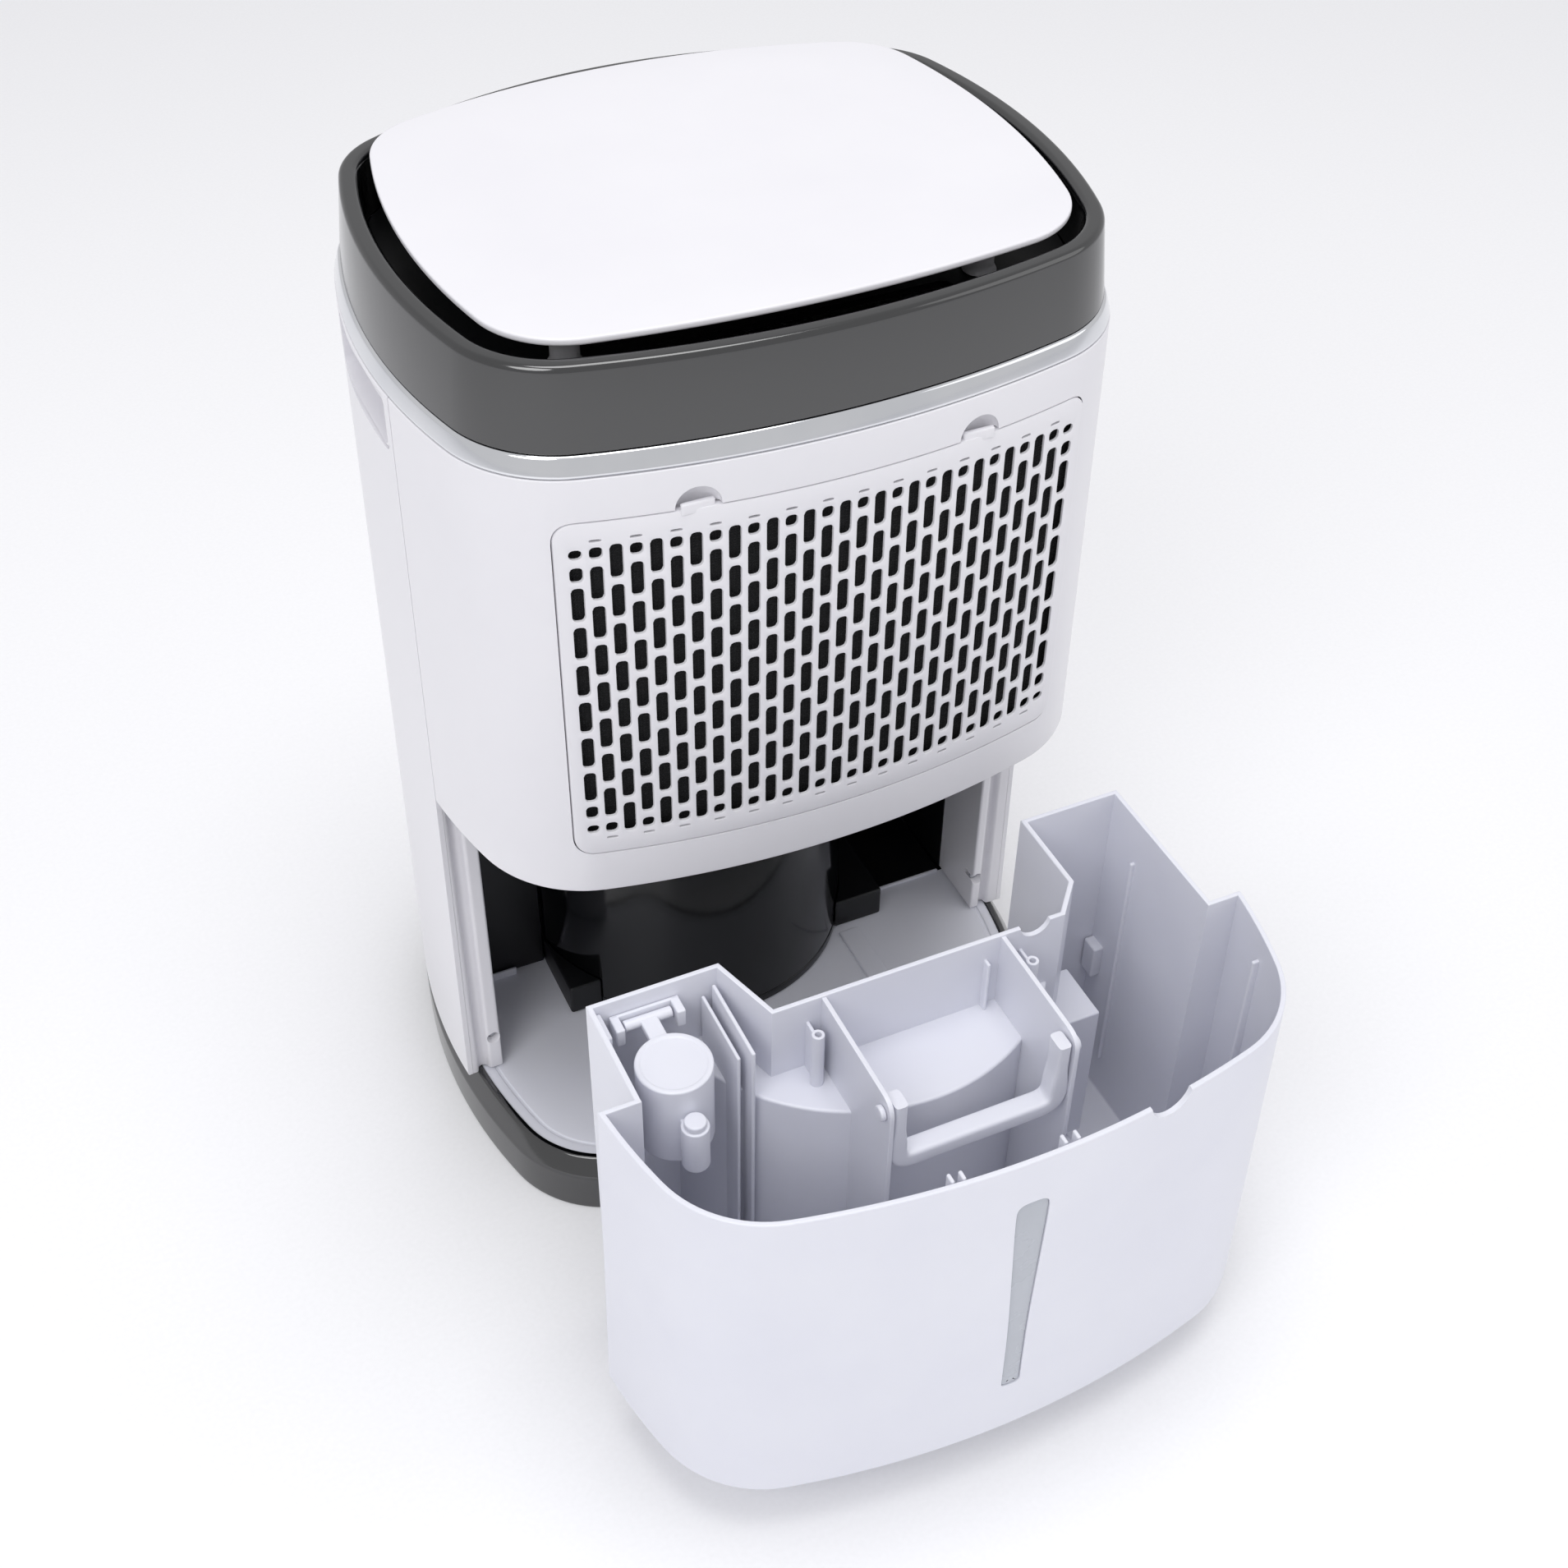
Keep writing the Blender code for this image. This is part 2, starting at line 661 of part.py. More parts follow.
def make_top(white, black, chrome, gloss):
    out = flare(TRIM_HEIGHT)
    rings = [
        (out, TRIM_HEIGHT),
        (FLARE_AT_BAND + 0.8, TRIM_TOP),
        (-3.0, TRIM_TOP),
        (-3.0, TRIM_HEIGHT),
    ]
    finish(loft(plan_rings(BODY_PLAN, rings), closed=True), "chrome_trim", chrome)
    band = finish(loft(band_rings(), closed=True), "top_band", gloss)
    opening = (CONTROL_HALF_WIDTH, CONTROL_BOTTOM, CONTROL_TOP)
    combine(band, band_strip("control_opening", *opening, 5.0, WALL + 1.5))
    make_controls(black, gloss)
    deck = [(-RIM_WIDTH - 1.3 - GAP, TROUGH_FLOOR - 3.0), (-RIM_WIDTH - 1.3 - GAP, TROUGH_FLOOR)]
    outlet = finish(loft(plan_rings(BODY_PLAN, deck)), "outlet_deck", black)
    for number in range(9):
        y = -72.0 + number * 17.0
        slot = rounded(-POST_X + 16.0, POST_X - 16.0, y, y + 9.0, 4.0, 2)
        cut_with(outlet, prism(slot, TROUGH_FLOOR - 9.0, TROUGH_FLOOR + 9.0), f"outlet_slot_{number + 1}")
    low = HEIGHT - PLATE_THICKNESS
    profile = [(-1.2, low), (0.0, low + 1.0), (0.0, HEIGHT - 1.0), (-1.0, HEIGHT)]
    plate = finish(loft(plan_rings(PLATE_PLAN, profile)), "top_plate", white)
    for number, (sx, sy) in enumerate(((1, 1), (-1, 1), (1, -1), (-1, -1)), start=1):
        post = cylinder_z(sx * POST_X, sy * POST_Y, POST_RADIUS, TROUGH_FLOOR + GAP, low + 1.5, 12)
        join_with(plate, post, f"plate_post_{number}")


def band_out(z):
    """How far the band stands out beyond the plan at a height."""
    share = (z - BAND_BOTTOM) / (BAND_TOP - 1.6 - BAND_BOTTOM)
    return FLARE_AT_BAND + (0.6 - FLARE_AT_BAND) * share


def band_rings():
    """The glossy band: its outer wall, its rim and the wall down into the trough."""
    inner = -RIM_WIDTH - 1.3
    profile = [
        (FLARE_AT_BAND, BAND_BOTTOM),
        (0.6, BAND_TOP - 1.6),
        (-0.8, BAND_TOP),
        (-RIM_WIDTH + 0.6, BAND_TOP),
        (inner, BAND_TOP - 2.5),
        (inner, TROUGH_FLOOR + GAP),
        (inner + WALL, TROUGH_FLOOR + GAP),
        (inner + WALL, BAND_TOP - WALL - 1.6),
        (FLARE_AT_BAND - WALL - 3.0, BAND_TOP - WALL - 1.6),
        (FLARE_AT_BAND - WALL, BAND_BOTTOM),
    ]
    return plan_rings(BODY_PLAN, profile)


def band_strip(name, half_width, low, high, outside, inside, surface=None):
    """A piece of the band's front wall, this far outside and inside its outer face."""
    profile = [
        (band_out(low) + outside, low),
        (band_out(high) + outside, high),
        (band_out(high) - inside, high),
        (band_out(low) - inside, low),
    ]
    strip = finish(loft(plan_rings(BODY_PLAN, profile), closed=True), name, surface)
    keep = box(-half_width, half_width, -BODY_PLAN.front - 40.0, -BODY_PLAN.front / 2, low - 5.0, high + 5.0)
    combine(strip, finish(keep, f"{name}_width"), "INTERSECT")
    return strip


def make_controls(black, gloss):
    middle = (CONTROL_BOTTOM + CONTROL_TOP) / 2
    lens_low = CONTROL_BOTTOM + LENS_MARGIN
    lens_high = CONTROL_TOP - LENS_MARGIN
    size = (CONTROL_HALF_WIDTH - GAP, CONTROL_BOTTOM + GAP, CONTROL_TOP - GAP)
    panel = band_strip("control_panel", *size, 0.0, WALL, gloss)
    hole = (LENS_HALF_WIDTH + GAP, lens_low - GAP, lens_high + GAP)
    combine(panel, band_strip("lens_opening", *hole, 5.0, WALL + 5.0))
    band_strip("display_lens", LENS_HALF_WIDTH, lens_low, lens_high, 0.0, WALL, gloss)
    for number, x in enumerate(BUTTON_XS, start=1):
        face = button_face(x)
        back = face + BUTTON_PROUD + WALL + 0.4
        hole = cylinder_y(x, middle, BUTTON_RADIUS + BUTTON_CLEARANCE, face - 9.0, back + 2.0, 16)
        cut_with(panel, hole, f"button_hole_{number}")
        cap = cylinder_y(x, middle, BUTTON_RADIUS, face, back, 16)
        finish(cap, f"button_{number}", black, place=(x, face, middle))
    size = (CONTROL_HALF_WIDTH - 4.0, CONTROL_BOTTOM + 3.0, CONTROL_TOP - 3.0)
    depth = WALL + 0.4 + BUTTON_TRAVEL + 1.3
    band_strip("control_board", *size, -depth, depth + 1.0, material("board_green", "1F5B36", 0.6))


def button_face(x):
    """Y of a button's face: just proud of the band at this x."""
    out = band_out((CONTROL_BOTTOM + CONTROL_TOP) / 2)
    radius = BODY_PLAN.front_radius + out
    face = radius - BODY_PLAN.front - out - math.sqrt(radius**2 - x**2)
    return face - BUTTON_PROUD


# ---- Intake panel ----


def curved_back(bm, depth):
    """Bends a flat panel whose rear face lies at y = 0 so that it follows the rear cover."""
    for vert in bm.verts:
        vert.co.y += face_y(vert.co.x, vert.co.z, rear=True)
    return bm


def slot_shape(x, z0, z1):
    half = SLOT_WIDTH / 2
    return [(x - half, z0), (x + half, z0), (x + half, z1), (x - half, z1)]


def slot_spans(column, low, high):
    """Where one column's slots start and end; every other column is half a pitch lower."""
    spans = []
    shift = 0.0 if column % 2 else SLOT_PITCH / 2
    rows = int((high - low) / SLOT_PITCH) + 2
    centre = (low + high) / 2
    start = centre - SLOT_PITCH * (rows // 2) + shift
    for row in range(rows + 1):
        z0 = start + row * SLOT_PITCH - SLOT_LENGTH / 2
        z1 = z0 + SLOT_LENGTH
        z0, z1 = max(z0, low), min(z1, high)
        if z1 - z0 > SLOT_WIDTH * 0.6:
            spans.append((z0, z1))
    return spans


def make_panel(white, black):
    pull = empty("panel_slide", (0.0, 0.0, PANEL_BOTTOM))
    columns = SLOT_COLUMNS
    half = PANEL_HALF_WIDTH - SLOT_MARGIN
    pitch = 2 * half / columns
    bm = bmesh.new()
    edges = [-PANEL_HALF_WIDTH] + [-half + i * pitch for i in range(columns + 1)] + [PANEL_HALF_WIDTH]
    grid = {}
    radius = PANEL_CORNER - SEAM
    for i, x in enumerate(edges):
        short = max(radius - (PANEL_HALF_WIDTH - abs(x)), 0.0)
        rise = radius - math.sqrt(radius**2 - short**2)
        for z in (PANEL_BOTTOM + rise, PANEL_TOP - rise):
            for y in (-PANEL_DEPTH, 0.0):
                grid[i, z > (PANEL_BOTTOM + PANEL_TOP) / 2, y == 0.0] = bm.verts.new((x, y, z))
    last = len(edges) - 1
    for i in range(last):
        for side in (False, True):
            across = [(i, side, False), (i + 1, side, False), (i + 1, side, True), (i, side, True)]
            upright = [(i, False, side), (i + 1, False, side), (i + 1, True, side), (i, True, side)]
            for corners in (across, upright):
                bm.faces.new([grid[corner] for corner in corners])
    for i in (0, last):
        bm.faces.new([grid[i, False, False], grid[i, True, False], grid[i, True, True], grid[i, False, True]])
    panel = finish(bm, "flat_panel")
    cuts = bmesh.new()
    low = PANEL_BOTTOM + SLOT_END_MARGIN
    high = PANEL_TOP - SLOT_END_MARGIN
    for column in range(columns):
        x = -half + (column + 0.5) * pitch
        for z0, z1 in slot_spans(column, low, high):
            points = slot_shape(x, z0, z1)
            rings = [[cuts.verts.new((px, y, pz)) for px, pz in points] for y in (-9.0, 9.0)]
            count = len(points)
            for i in range(count):
                j = (i + 1) % count
                cuts.faces.new((rings[0][i], rings[0][j], rings[1][j], rings[1][i]))
            cuts.faces.new(rings[0][::-1])
            cuts.faces.new(rings[1])
    cut_tool = finish(cuts, "slot_cutters")
    combine(panel, cut_tool)
    bpy.context.view_layer.update()
    graph = bpy.context.evaluated_depsgraph_get()
    bent = bmesh.new()
    bent.from_object(panel, graph)
    for vert in bent.verts:
        vert.co = vert.co / MM
    grille = finish(curved_back(bent, PANEL_DEPTH), "intake_grille", white, parent=pull)
    for spare in (panel, cut_tool):
        bpy.data.objects.remove(spare, do_unlink=True)
    make_filter(black, pull)
    return grille


def make_filter(black, parent):
    steps = 12
    half = PANEL_HALF_WIDTH - 2.0
    low = PANEL_BOTTOM + 2.0
    high = PANEL_TOP - 3.0
    rows = []
    for i in range(steps + 1):
        x = -half + 2 * half * i / steps
        rear = face_y(x, high, rear=True) - PANEL_DEPTH - 1.0
        near = rear - FILTER_THICKNESS
        rows.append([(x, near, low), (x, rear, low), (x, rear, high), (x, near, high)])
    finish(loft(rows), "air_filter", black, parent=parent)


# ---- Air path and refrigerant circuit ----


def make_coil(name, y, depth, tubes, surface):
    """A finned block with its hairpin bends showing at both ends."""
    block = box(-COIL_HALF_WIDTH, COIL_HALF_WIDTH, y, y + depth, COIL_BOTTOM, COIL_TOP)
    coil = finish(block, name, surface)
    pitch = (COIL_TOP - COIL_BOTTOM) / tubes
    for number in range(tubes):
        z = COIL_BOTTOM + (number + 0.5) * pitch
        centre = y + depth / 2
        reach = COIL_HALF_WIDTH + 9.0
        bend = cylinder_x(centre, z, COIL_TUBE_RADIUS, -reach, reach, 8)
        join_with(coil, bend, f"{name}_bend_{number + 1}")
    return coil


def make_cooling(aluminium, copper, black, dark, steel, white):
    make_coil("evaporator", EVAPORATOR_Y, EVAPORATOR_DEPTH, 6, aluminium)
    make_coil("condenser", CONDENSER_Y, CONDENSER_DEPTH, 6, copper)
    edge = COIL_HALF_WIDTH + 8.0
    near = CONDENSER_Y - 1.0
    far = EVAPORATOR_Y + EVAPORATOR_DEPTH + 3.0
    trough = box(-edge, edge, near, far, DECK_TOP + GAP, COIL_BOTTOM - 2.0)
    tray = finish(trough, "drip_tray", white)
    hollow = box(2.0 - edge, edge - 2.0, near + 2.0, far - 2.0, DECK_TOP + 3.0, COIL_BOTTOM + 3.0)
    cut_with(tray, hollow, "drip_tray_hollow")
    edge = COIL_HALF_WIDTH + 12.0
    plate = box(-edge, edge, SHROUD_Y, SHROUD_Y + 3.0, DECK_TOP + GAP, COIL_TOP + 6.0)
    shroud = finish(plate, "fan_shroud", black)
    cut_with(shroud, cylinder_y(0.0, FAN_Z, FAN_RADIUS, SHROUD_Y - 9, SHROUD_Y + 9, 32), "shroud_hole")
    motor_front = SHROUD_Y - FAN_DEPTH - 8.0 - MOTOR_LENGTH
    motor_rear = motor_front + MOTOR_LENGTH
    profile = [
        (MOTOR_RADIUS - 5, motor_front),
        (MOTOR_RADIUS, motor_front + 5),
        (MOTOR_RADIUS, motor_rear - 5),
        (MOTOR_RADIUS - 5, motor_rear),
        (SHAFT_RADIUS, motor_rear),
        (SHAFT_RADIUS, motor_rear + FAN_DEPTH),
    ]
    finish(turned_y(0.0, FAN_Z, profile, 24), "fan_motor", dark)
    bracket_low = FAN_Z - MOTOR_RADIUS - GAP
    bracket = box(-26.0, 26.0, motor_front + 6, motor_rear - 6, DECK_TOP + GAP, bracket_low + 14.0)
    made = finish(bracket, "motor_bracket", black)
    cut_with(made, cylinder_y(0.0, FAN_Z, MOTOR_RADIUS + GAP, motor_front, motor_rear, 24), "motor_seat")
    make_fan(motor_rear, black)
    foot = BAY_FLOOR
    low = foot + 9.0
    shell = [
        (COMPRESSOR_RADIUS - 22, low),
        (COMPRESSOR_RADIUS - 4, low + 7),
        (COMPRESSOR_RADIUS, low + 16),
        (COMPRESSOR_RADIUS, low + COMPRESSOR_HEIGHT - 24),
        (COMPRESSOR_RADIUS - 8, low + COMPRESSOR_HEIGHT - 10),
        (COMPRESSOR_RADIUS - 26, low + COMPRESSOR_HEIGHT),
    ]
    compressor = finish(turned(DOME_X, DOME_Y, shell, 28), "compressor", dark)
    for number in range(3):
        angle = math.pi / 2 + number * 2 * math.pi / 3
        x = DOME_X + (COMPRESSOR_RADIUS + 10) * math.cos(angle)
        y = DOME_Y + (COMPRESSOR_RADIUS + 10) * math.sin(angle)
        leg = circle(x, y, 9.0, 12)
        join_with(compressor, prism(leg, low + 3.0, low + 6.0), f"compressor_leg_{number + 1}")
        arm = arm_outline((DOME_X, DOME_Y), (x, y), 8.0)
        join_with(compressor, prism(arm, low + 2.5, low + 6.5), f"compressor_arm_{number + 1}")
        grommet = turned(x, y, [(8.0, foot), (8.0, foot + 4.0), (6.0, low + 2.2)], 14)
        finish(grommet, f"compressor_mount_{number + 1}", black, place=(x, y, foot))
    names = ("suction_pipe", "discharge_pipe")
    targets = (EVAPORATOR_Y + 6.0, CONDENSER_Y + 8.0)
    for name, (x, y), target in zip(names, pipe_places(), targets):
        side = 1 if x > DOME_X else -1
        end_x = side * (COIL_HALF_WIDTH + 24.0)
        route = [
            (x, y, low + COMPRESSOR_HEIGHT + 1.5),
            (x, y, DOME_TOP + 10.0),
            (x, y, DECK_TOP + 6.0),
            (x + side * 4.0, y + 2.0, DECK_TOP + 22.0),
            (end_x * 0.7, -14.0, DECK_TOP + 38.0),
            (end_x, 6.0, DECK_TOP + 52.0),
            (end_x, target, DECK_TOP + 74.0),
            (end_x, target, COIL_TOP - 30.0),
        ]
        make_pipe(name, route, copper)
    can = turned_y(0.0, 0.0, [(14.0, 0.0), (14.0, 44.0)], 16)
    bmesh.ops.rotate(can, verts=can.verts, cent=(0, 0, 0), matrix=Matrix.Rotation(math.pi / 2, 3, "X"))
    bmesh.ops.translate(can, verts=can.verts, vec=(-100.0, -40.0, DECK_TOP + 44.3 + GAP))
    finish(can, "run_capacitor", steel)
    board = box(70.0, 118.0, -60.0, -57.0, DECK_TOP + 20.0, DECK_TOP + 90.0)
    finish(board, "power_board", bpy.data.materials["board_green"])


def arm_outline(start, end, width):
    """A straight arm in plan between two points."""
    a, b = Vector(start), Vector(end)
    along = (b - a).normalized()
    side = Vector((-along.y, along.x)) * (width / 2)
    return [tuple(a - side), tuple(b - side), tuple(b + side), tuple(a + side)]


def make_pipe(name, route, surface):
    """A bent tube through these points, smoothed with a Catmull-Rom curve."""
    points = [Vector(point) for point in route]
    path = []
    for i in range(len(points) - 1):
        before = points[max(i - 1, 0)]
        a, b = points[i], points[i + 1]
        after = points[min(i + 2, len(points) - 1)]
        for step in range(6):
            t = step / 6
            path.append(
                0.5 * (2 * a + (b - before) * t + (2 * before - 5 * a + 4 * b - after) * t**2
                       + (3 * a - before - 3 * b + after) * t**3)
            )
    path.append(points[-1])
    curve = bpy.data.curves.new(name, "CURVE")
    curve.dimensions = "3D"
    curve.bevel_depth = PIPE_RADIUS * MM
    curve.bevel_resolution = 2
    curve.use_fill_caps = True
    spline = curve.splines.new("POLY")
    spline.points.add(len(path) - 1)
    for point, place in zip(spline.points, path):
        point.co = (*(place * MM), 1.0)
    curve.materials.append(surface)
    made = bpy.data.objects.new(name, curve)
    bpy.context.scene.collection.objects.link(made)
    return made


def make_fan(motor_rear, surface):
    spin = empty("fan_spin", (0.0, motor_rear, FAN_Z))
    hub_radius = 22.0
    front = motor_rear + 2.0
    rear = front + FAN_DEPTH
    profile = [
        (SHAFT_RADIUS + GAP, front),
        (hub_radius, front),
        (hub_radius, rear - 4),
        (hub_radius - 4, rear),
        (SHAFT_RADIUS + GAP, rear),
    ]
    rings = []
    for radius, y in profile:
        rings.append([(a, y, b) for a, b in circle(0.0, FAN_Z, radius, 20, math.pi / 20)])
    fan = finish(loft(rings, closed=True), "fan_wheel", surface, place=(0.0, motor_rear, FAN_Z), parent=spin)
    tip = FAN_RADIUS - FAN_CLEARANCE
    for number in range(FAN_BLADES):
        start = number * 2 * math.pi / FAN_BLADES
        sections = []
        for step in range(5):
            radius = hub_radius - 2 + (tip - hub_radius + 2) * step / 4
            sweep = start + 0.10 * step
            span = 0.62 - 0.07 * step
            low, high = front + 3.0, rear - 3.0
            ring = []
            for angle, y in ((sweep, low), (sweep + span, high)):
                x = radius * math.sin(angle)
                z = FAN_Z + radius * math.cos(angle)
                ring.append((x, y, z))
            a, b = ring
            sections.append([a, b, (b[0], b[1] + 2.0, b[2]), (a[0], a[1] + 2.0, a[2])])
        join_with(fan, loft(sections), f"fan_blade_{number + 1}")
    return fan


# ---- Tank ----


def tank_outline(out):
    """The tank in plan: its rear shell, and two legs that reach forward beside the compressor."""
    points = rear_outline(BODY_PLAN, out, EAR_Y)
    points += [
        (-TANK_SIDE, EAR_Y),
        (-TANK_SIDE, LEG_RIGHT_FRONT),
        (LEG_RIGHT_INNER, LEG_RIGHT_FRONT),
        (LEG_RIGHT_INNER, RECESS_Y - 15.0),
        (RECESS_RIGHT, RECESS_Y),
        (RECESS_LEFT, RECESS_Y),
        (RECESS_LEFT_FRONT, LEG_LEFT_FRONT),
        (TANK_SIDE, LEG_LEFT_FRONT),
        (TANK_SIDE, EAR_Y),
    ]
    return points


def tank_rings(distance, low, high):
    rings = []
    for z in (low, high):
        share = (z - TANK_BOTTOM) / TANK_HEIGHT
        out = TANK_FLARE_BOTTOM + (TANK_FLARE_RIM - TANK_FLARE_BOTTOM) * share
        points = tank_outline(out)
        rings.append(flat_ring(inset(points, distance) if distance else points, z))
    return rings


def pulled(bm):
    """Moves what was drawn at the tank's place in the bay to where it stands pulled out."""
    bmesh.ops.translate(bm, verts=bm.verts, vec=(0.0, TANK_TRAVEL, 0.0))
    return bm


def bay_obstacles():
    """The x and y range and the height of each low block that the tank passes over."""
    found = {f"switch_{side}": (place, SWITCH_HEIGHT) for side, place in SWITCHES.items()}
    found["tab"] = (tab_range(), TAB_HEIGHT)
    return found


def clearance_box(place, height, grow):
    x0, x1, y0, y1 = place
    grow += SWITCH_MARGIN
    return box(x0 - grow, x1 + grow, y0 - 30.0, y1 + grow, 0.0, BAY_FLOOR + height + grow)


def make_tank(white, grey, steel):
    slide = empty("tank_slide", (0.0, TANK_TRAVEL, TANK_BOTTOM))
    rings = tank_rings(0.0, TANK_BOTTOM + 2.0, TANK_TOP)
    rings.insert(0, flat_ring(inset(tank_outline(TANK_FLARE_BOTTOM), 2.0), TANK_BOTTOM))
    bucket = finish(pulled(loft(rings)), "tank_bucket", white, parent=slide)
    hollow = tank_rings(TANK_WALL, TANK_BOTTOM + TANK_FLOOR, TANK_TOP + 5.0)
    cavity = finish(pulled(loft(hollow)), "tank_cavity", parent=slide)
    clear = DOME_RADIUS + DOME_CLEARANCE
    grown = cylinder_z(DOME_X, DOME_Y, clear + TANK_WALL, 0.0, SHELF_TOP, 56)
    cut_with(cavity, pulled(grown), "dome_jacket")
    for name, (place, height) in bay_obstacles().items():
        cut_with(cavity, pulled(clearance_box(place, height, TANK_WALL)), f"{name}_jacket")
    combine(bucket, cavity)
    for number, x in enumerate((-DIVIDER_X, DIVIDER_X - DIVIDER_THICKNESS), start=1):
        fin = [
            (RECESS_Y + 0.5, TANK_TOP - 1.0),
            (DIVIDER_END - 8.0, TANK_TOP - 1.0),
            (DIVIDER_END - 2.0, TANK_TOP - 4.0),
            (DIVIDER_END, TANK_TOP - 9.0),
            (DIVIDER_END, TANK_BOTTOM + 1.5),
            (RECESS_Y + 0.5, TANK_BOTTOM + 1.5),
        ]
        rib = loft([[(x + dx, y, z) for y, z in fin] for dx in (0.0, DIVIDER_THICKNESS)])
        join_with(bucket, pulled(rib), f"divider_{number}")
        pivot_z = TANK_TOP - BAIL_PIVOT_DROP
        ends = (x - 3.0, x + DIVIDER_THICKNESS + 3.0)
        pin = cylinder_x(BAIL_PIVOT_Y, pivot_z, PIN_RADIUS + GAP, *ends, 12)
        cut_with(bucket, pulled(pin), f"pin_hole_{number}")
    for number, x in enumerate((51.5, -53.5), start=1):
        post = cylinder_z(x, 23.0, 3.0, SHELF_TOP - TANK_WALL / 2, TANK_TOP - 10.0, 10)
        join_with(bucket, pulled(post), f"tank_post_{number}")
    cut_with(bucket, pulled(cylinder_z(DOME_X, DOME_Y, clear, 0.0, SHELF_TOP - TANK_WALL, 56)), "dome_recess")
    for name, (place, height) in bay_obstacles().items():
        cut_with(bucket, pulled(clearance_box(place, height, 0.0)), f"{name}_recess")
    spout = cylinder_y(-65.0, TANK_TOP + 2.0, 10.0, 90.0, 150.0, 20)
    cut_with(bucket, pulled(spout), "rim_notch")
    web = cylinder_y(-60.0, TANK_TOP + 1.0, 9.0, RECESS_Y - 4.0, RECESS_Y + 5.0, 16)
    cut_with(bucket, pulled(web), "web_notch")
    make_window(bucket, grey, slide)
    make_bail(white, steel, slide)
    make_float(white, steel, slide)


def window_outline(grow):
    """The lens in (x, z): slim at the bottom, flared at the top, with its corners cut off."""
    top = TANK_BOTTOM + WINDOW_TOP + grow
    low = TANK_BOTTOM + WINDOW_BOTTOM - grow
    wide = WINDOW_TOP_WIDTH / 2 + grow
    slim = WINDOW_BOTTOM_WIDTH / 2 + grow
    knee = (2 * low + top) / 3
    right = [(slim - 3.0, low), (slim, low + 2.0), (slim, knee), (wide, top - 5.0), (wide - 4.0, top)]
    return [(WINDOW_X + x, z) for x, z in right] + [(WINDOW_X - x, z) for x, z in reversed(right)]


def tank_skin(name, depth, slide):
    """A guide that holds all of the tank deeper than this below its outer face."""
    rings = tank_rings(depth, TANK_BOTTOM - 5.0, TANK_TOP + 5.0)
    return finish(pulled(loft(rings)), name, parent=slide)


def make_window(bucket, grey, slide):
    """A lens let into the rear wall, flush with it."""
    far = BODY_PLAN.rear + FLARE_AT_FLOOR + 12.0
    near = BODY_PLAN.rear + TANK_FLARE_RIM - 6.0
    tool = finish(pulled(prism_y(window_outline(GAP), near, far)), "window_pocket", parent=slide)
    combine(tool, tank_skin("pocket_depth", WINDOW_DEPTH, slide))
    combine(bucket, tool)
    shape = prism_y(window_outline(0.0), near, far - 1.0)
    lens = finish(pulled(shape), "water_window", grey, parent=slide)
    combine(lens, tank_skin("window_skin", 0.1, slide), "INTERSECT")
    combine(lens, tank_skin("window_core", WINDOW_DEPTH - GAP, slide))


def make_bail(white, steel, slide):
    """The carrying handle hangs from two pins between the dividers."""
    pivot_z = TANK_TOP - BAIL_PIVOT_DROP
    pivot_y = BAIL_PIVOT_Y + TANK_TRAVEL
    hinge = empty("bail_hinge", (0.0, pivot_y, pivot_z), slide)
    outer = DIVIDER_X - DIVIDER_THICKNESS - 1.0
    arm = 6.0
    low = pivot_z - BAIL_REACH
    left = [(outer, low), (outer, pivot_z + 5.0), (outer - arm, pivot_z + 5.0), (outer - arm, low + BAIL_BAR)]
    shape = left + [(-x, z) for x, z in reversed(left)]
    bail = prism_y(shape, pivot_y - 5.0, pivot_y + 5.0)
    handle = finish(bail, "tank_handle", white, place=(0.0, pivot_y, pivot_z), parent=hinge)
    for number, sign in enumerate((1, -1), start=1):
        x0, x1 = sorted((sign * (outer - arm - 3), sign * (outer + 5)))
        bore = cylinder_x(pivot_y, pivot_z, PIN_RADIUS + GAP, x0, x1, 12)
        cut_with(handle, bore, f"bail_bore_{number}")
        head = sign * (DIVIDER_X + 2.6)
        inner = sign * (outer - arm + 1)
        collar = sign * (DIVIDER_X + GAP)
        big = PIN_RADIUS + 1.6
        rings = []
        for radius, x in ((PIN_RADIUS, inner), (PIN_RADIUS, collar), (big, collar), (big, head)):
            rings.append([(x, a, b) for a, b in circle(pivot_y, pivot_z, radius, 12, math.pi / 12)])
        place = (head, pivot_y, pivot_z)
        finish(loft(rings), f"handle_pin_{number}", steel, place=place, parent=slide)


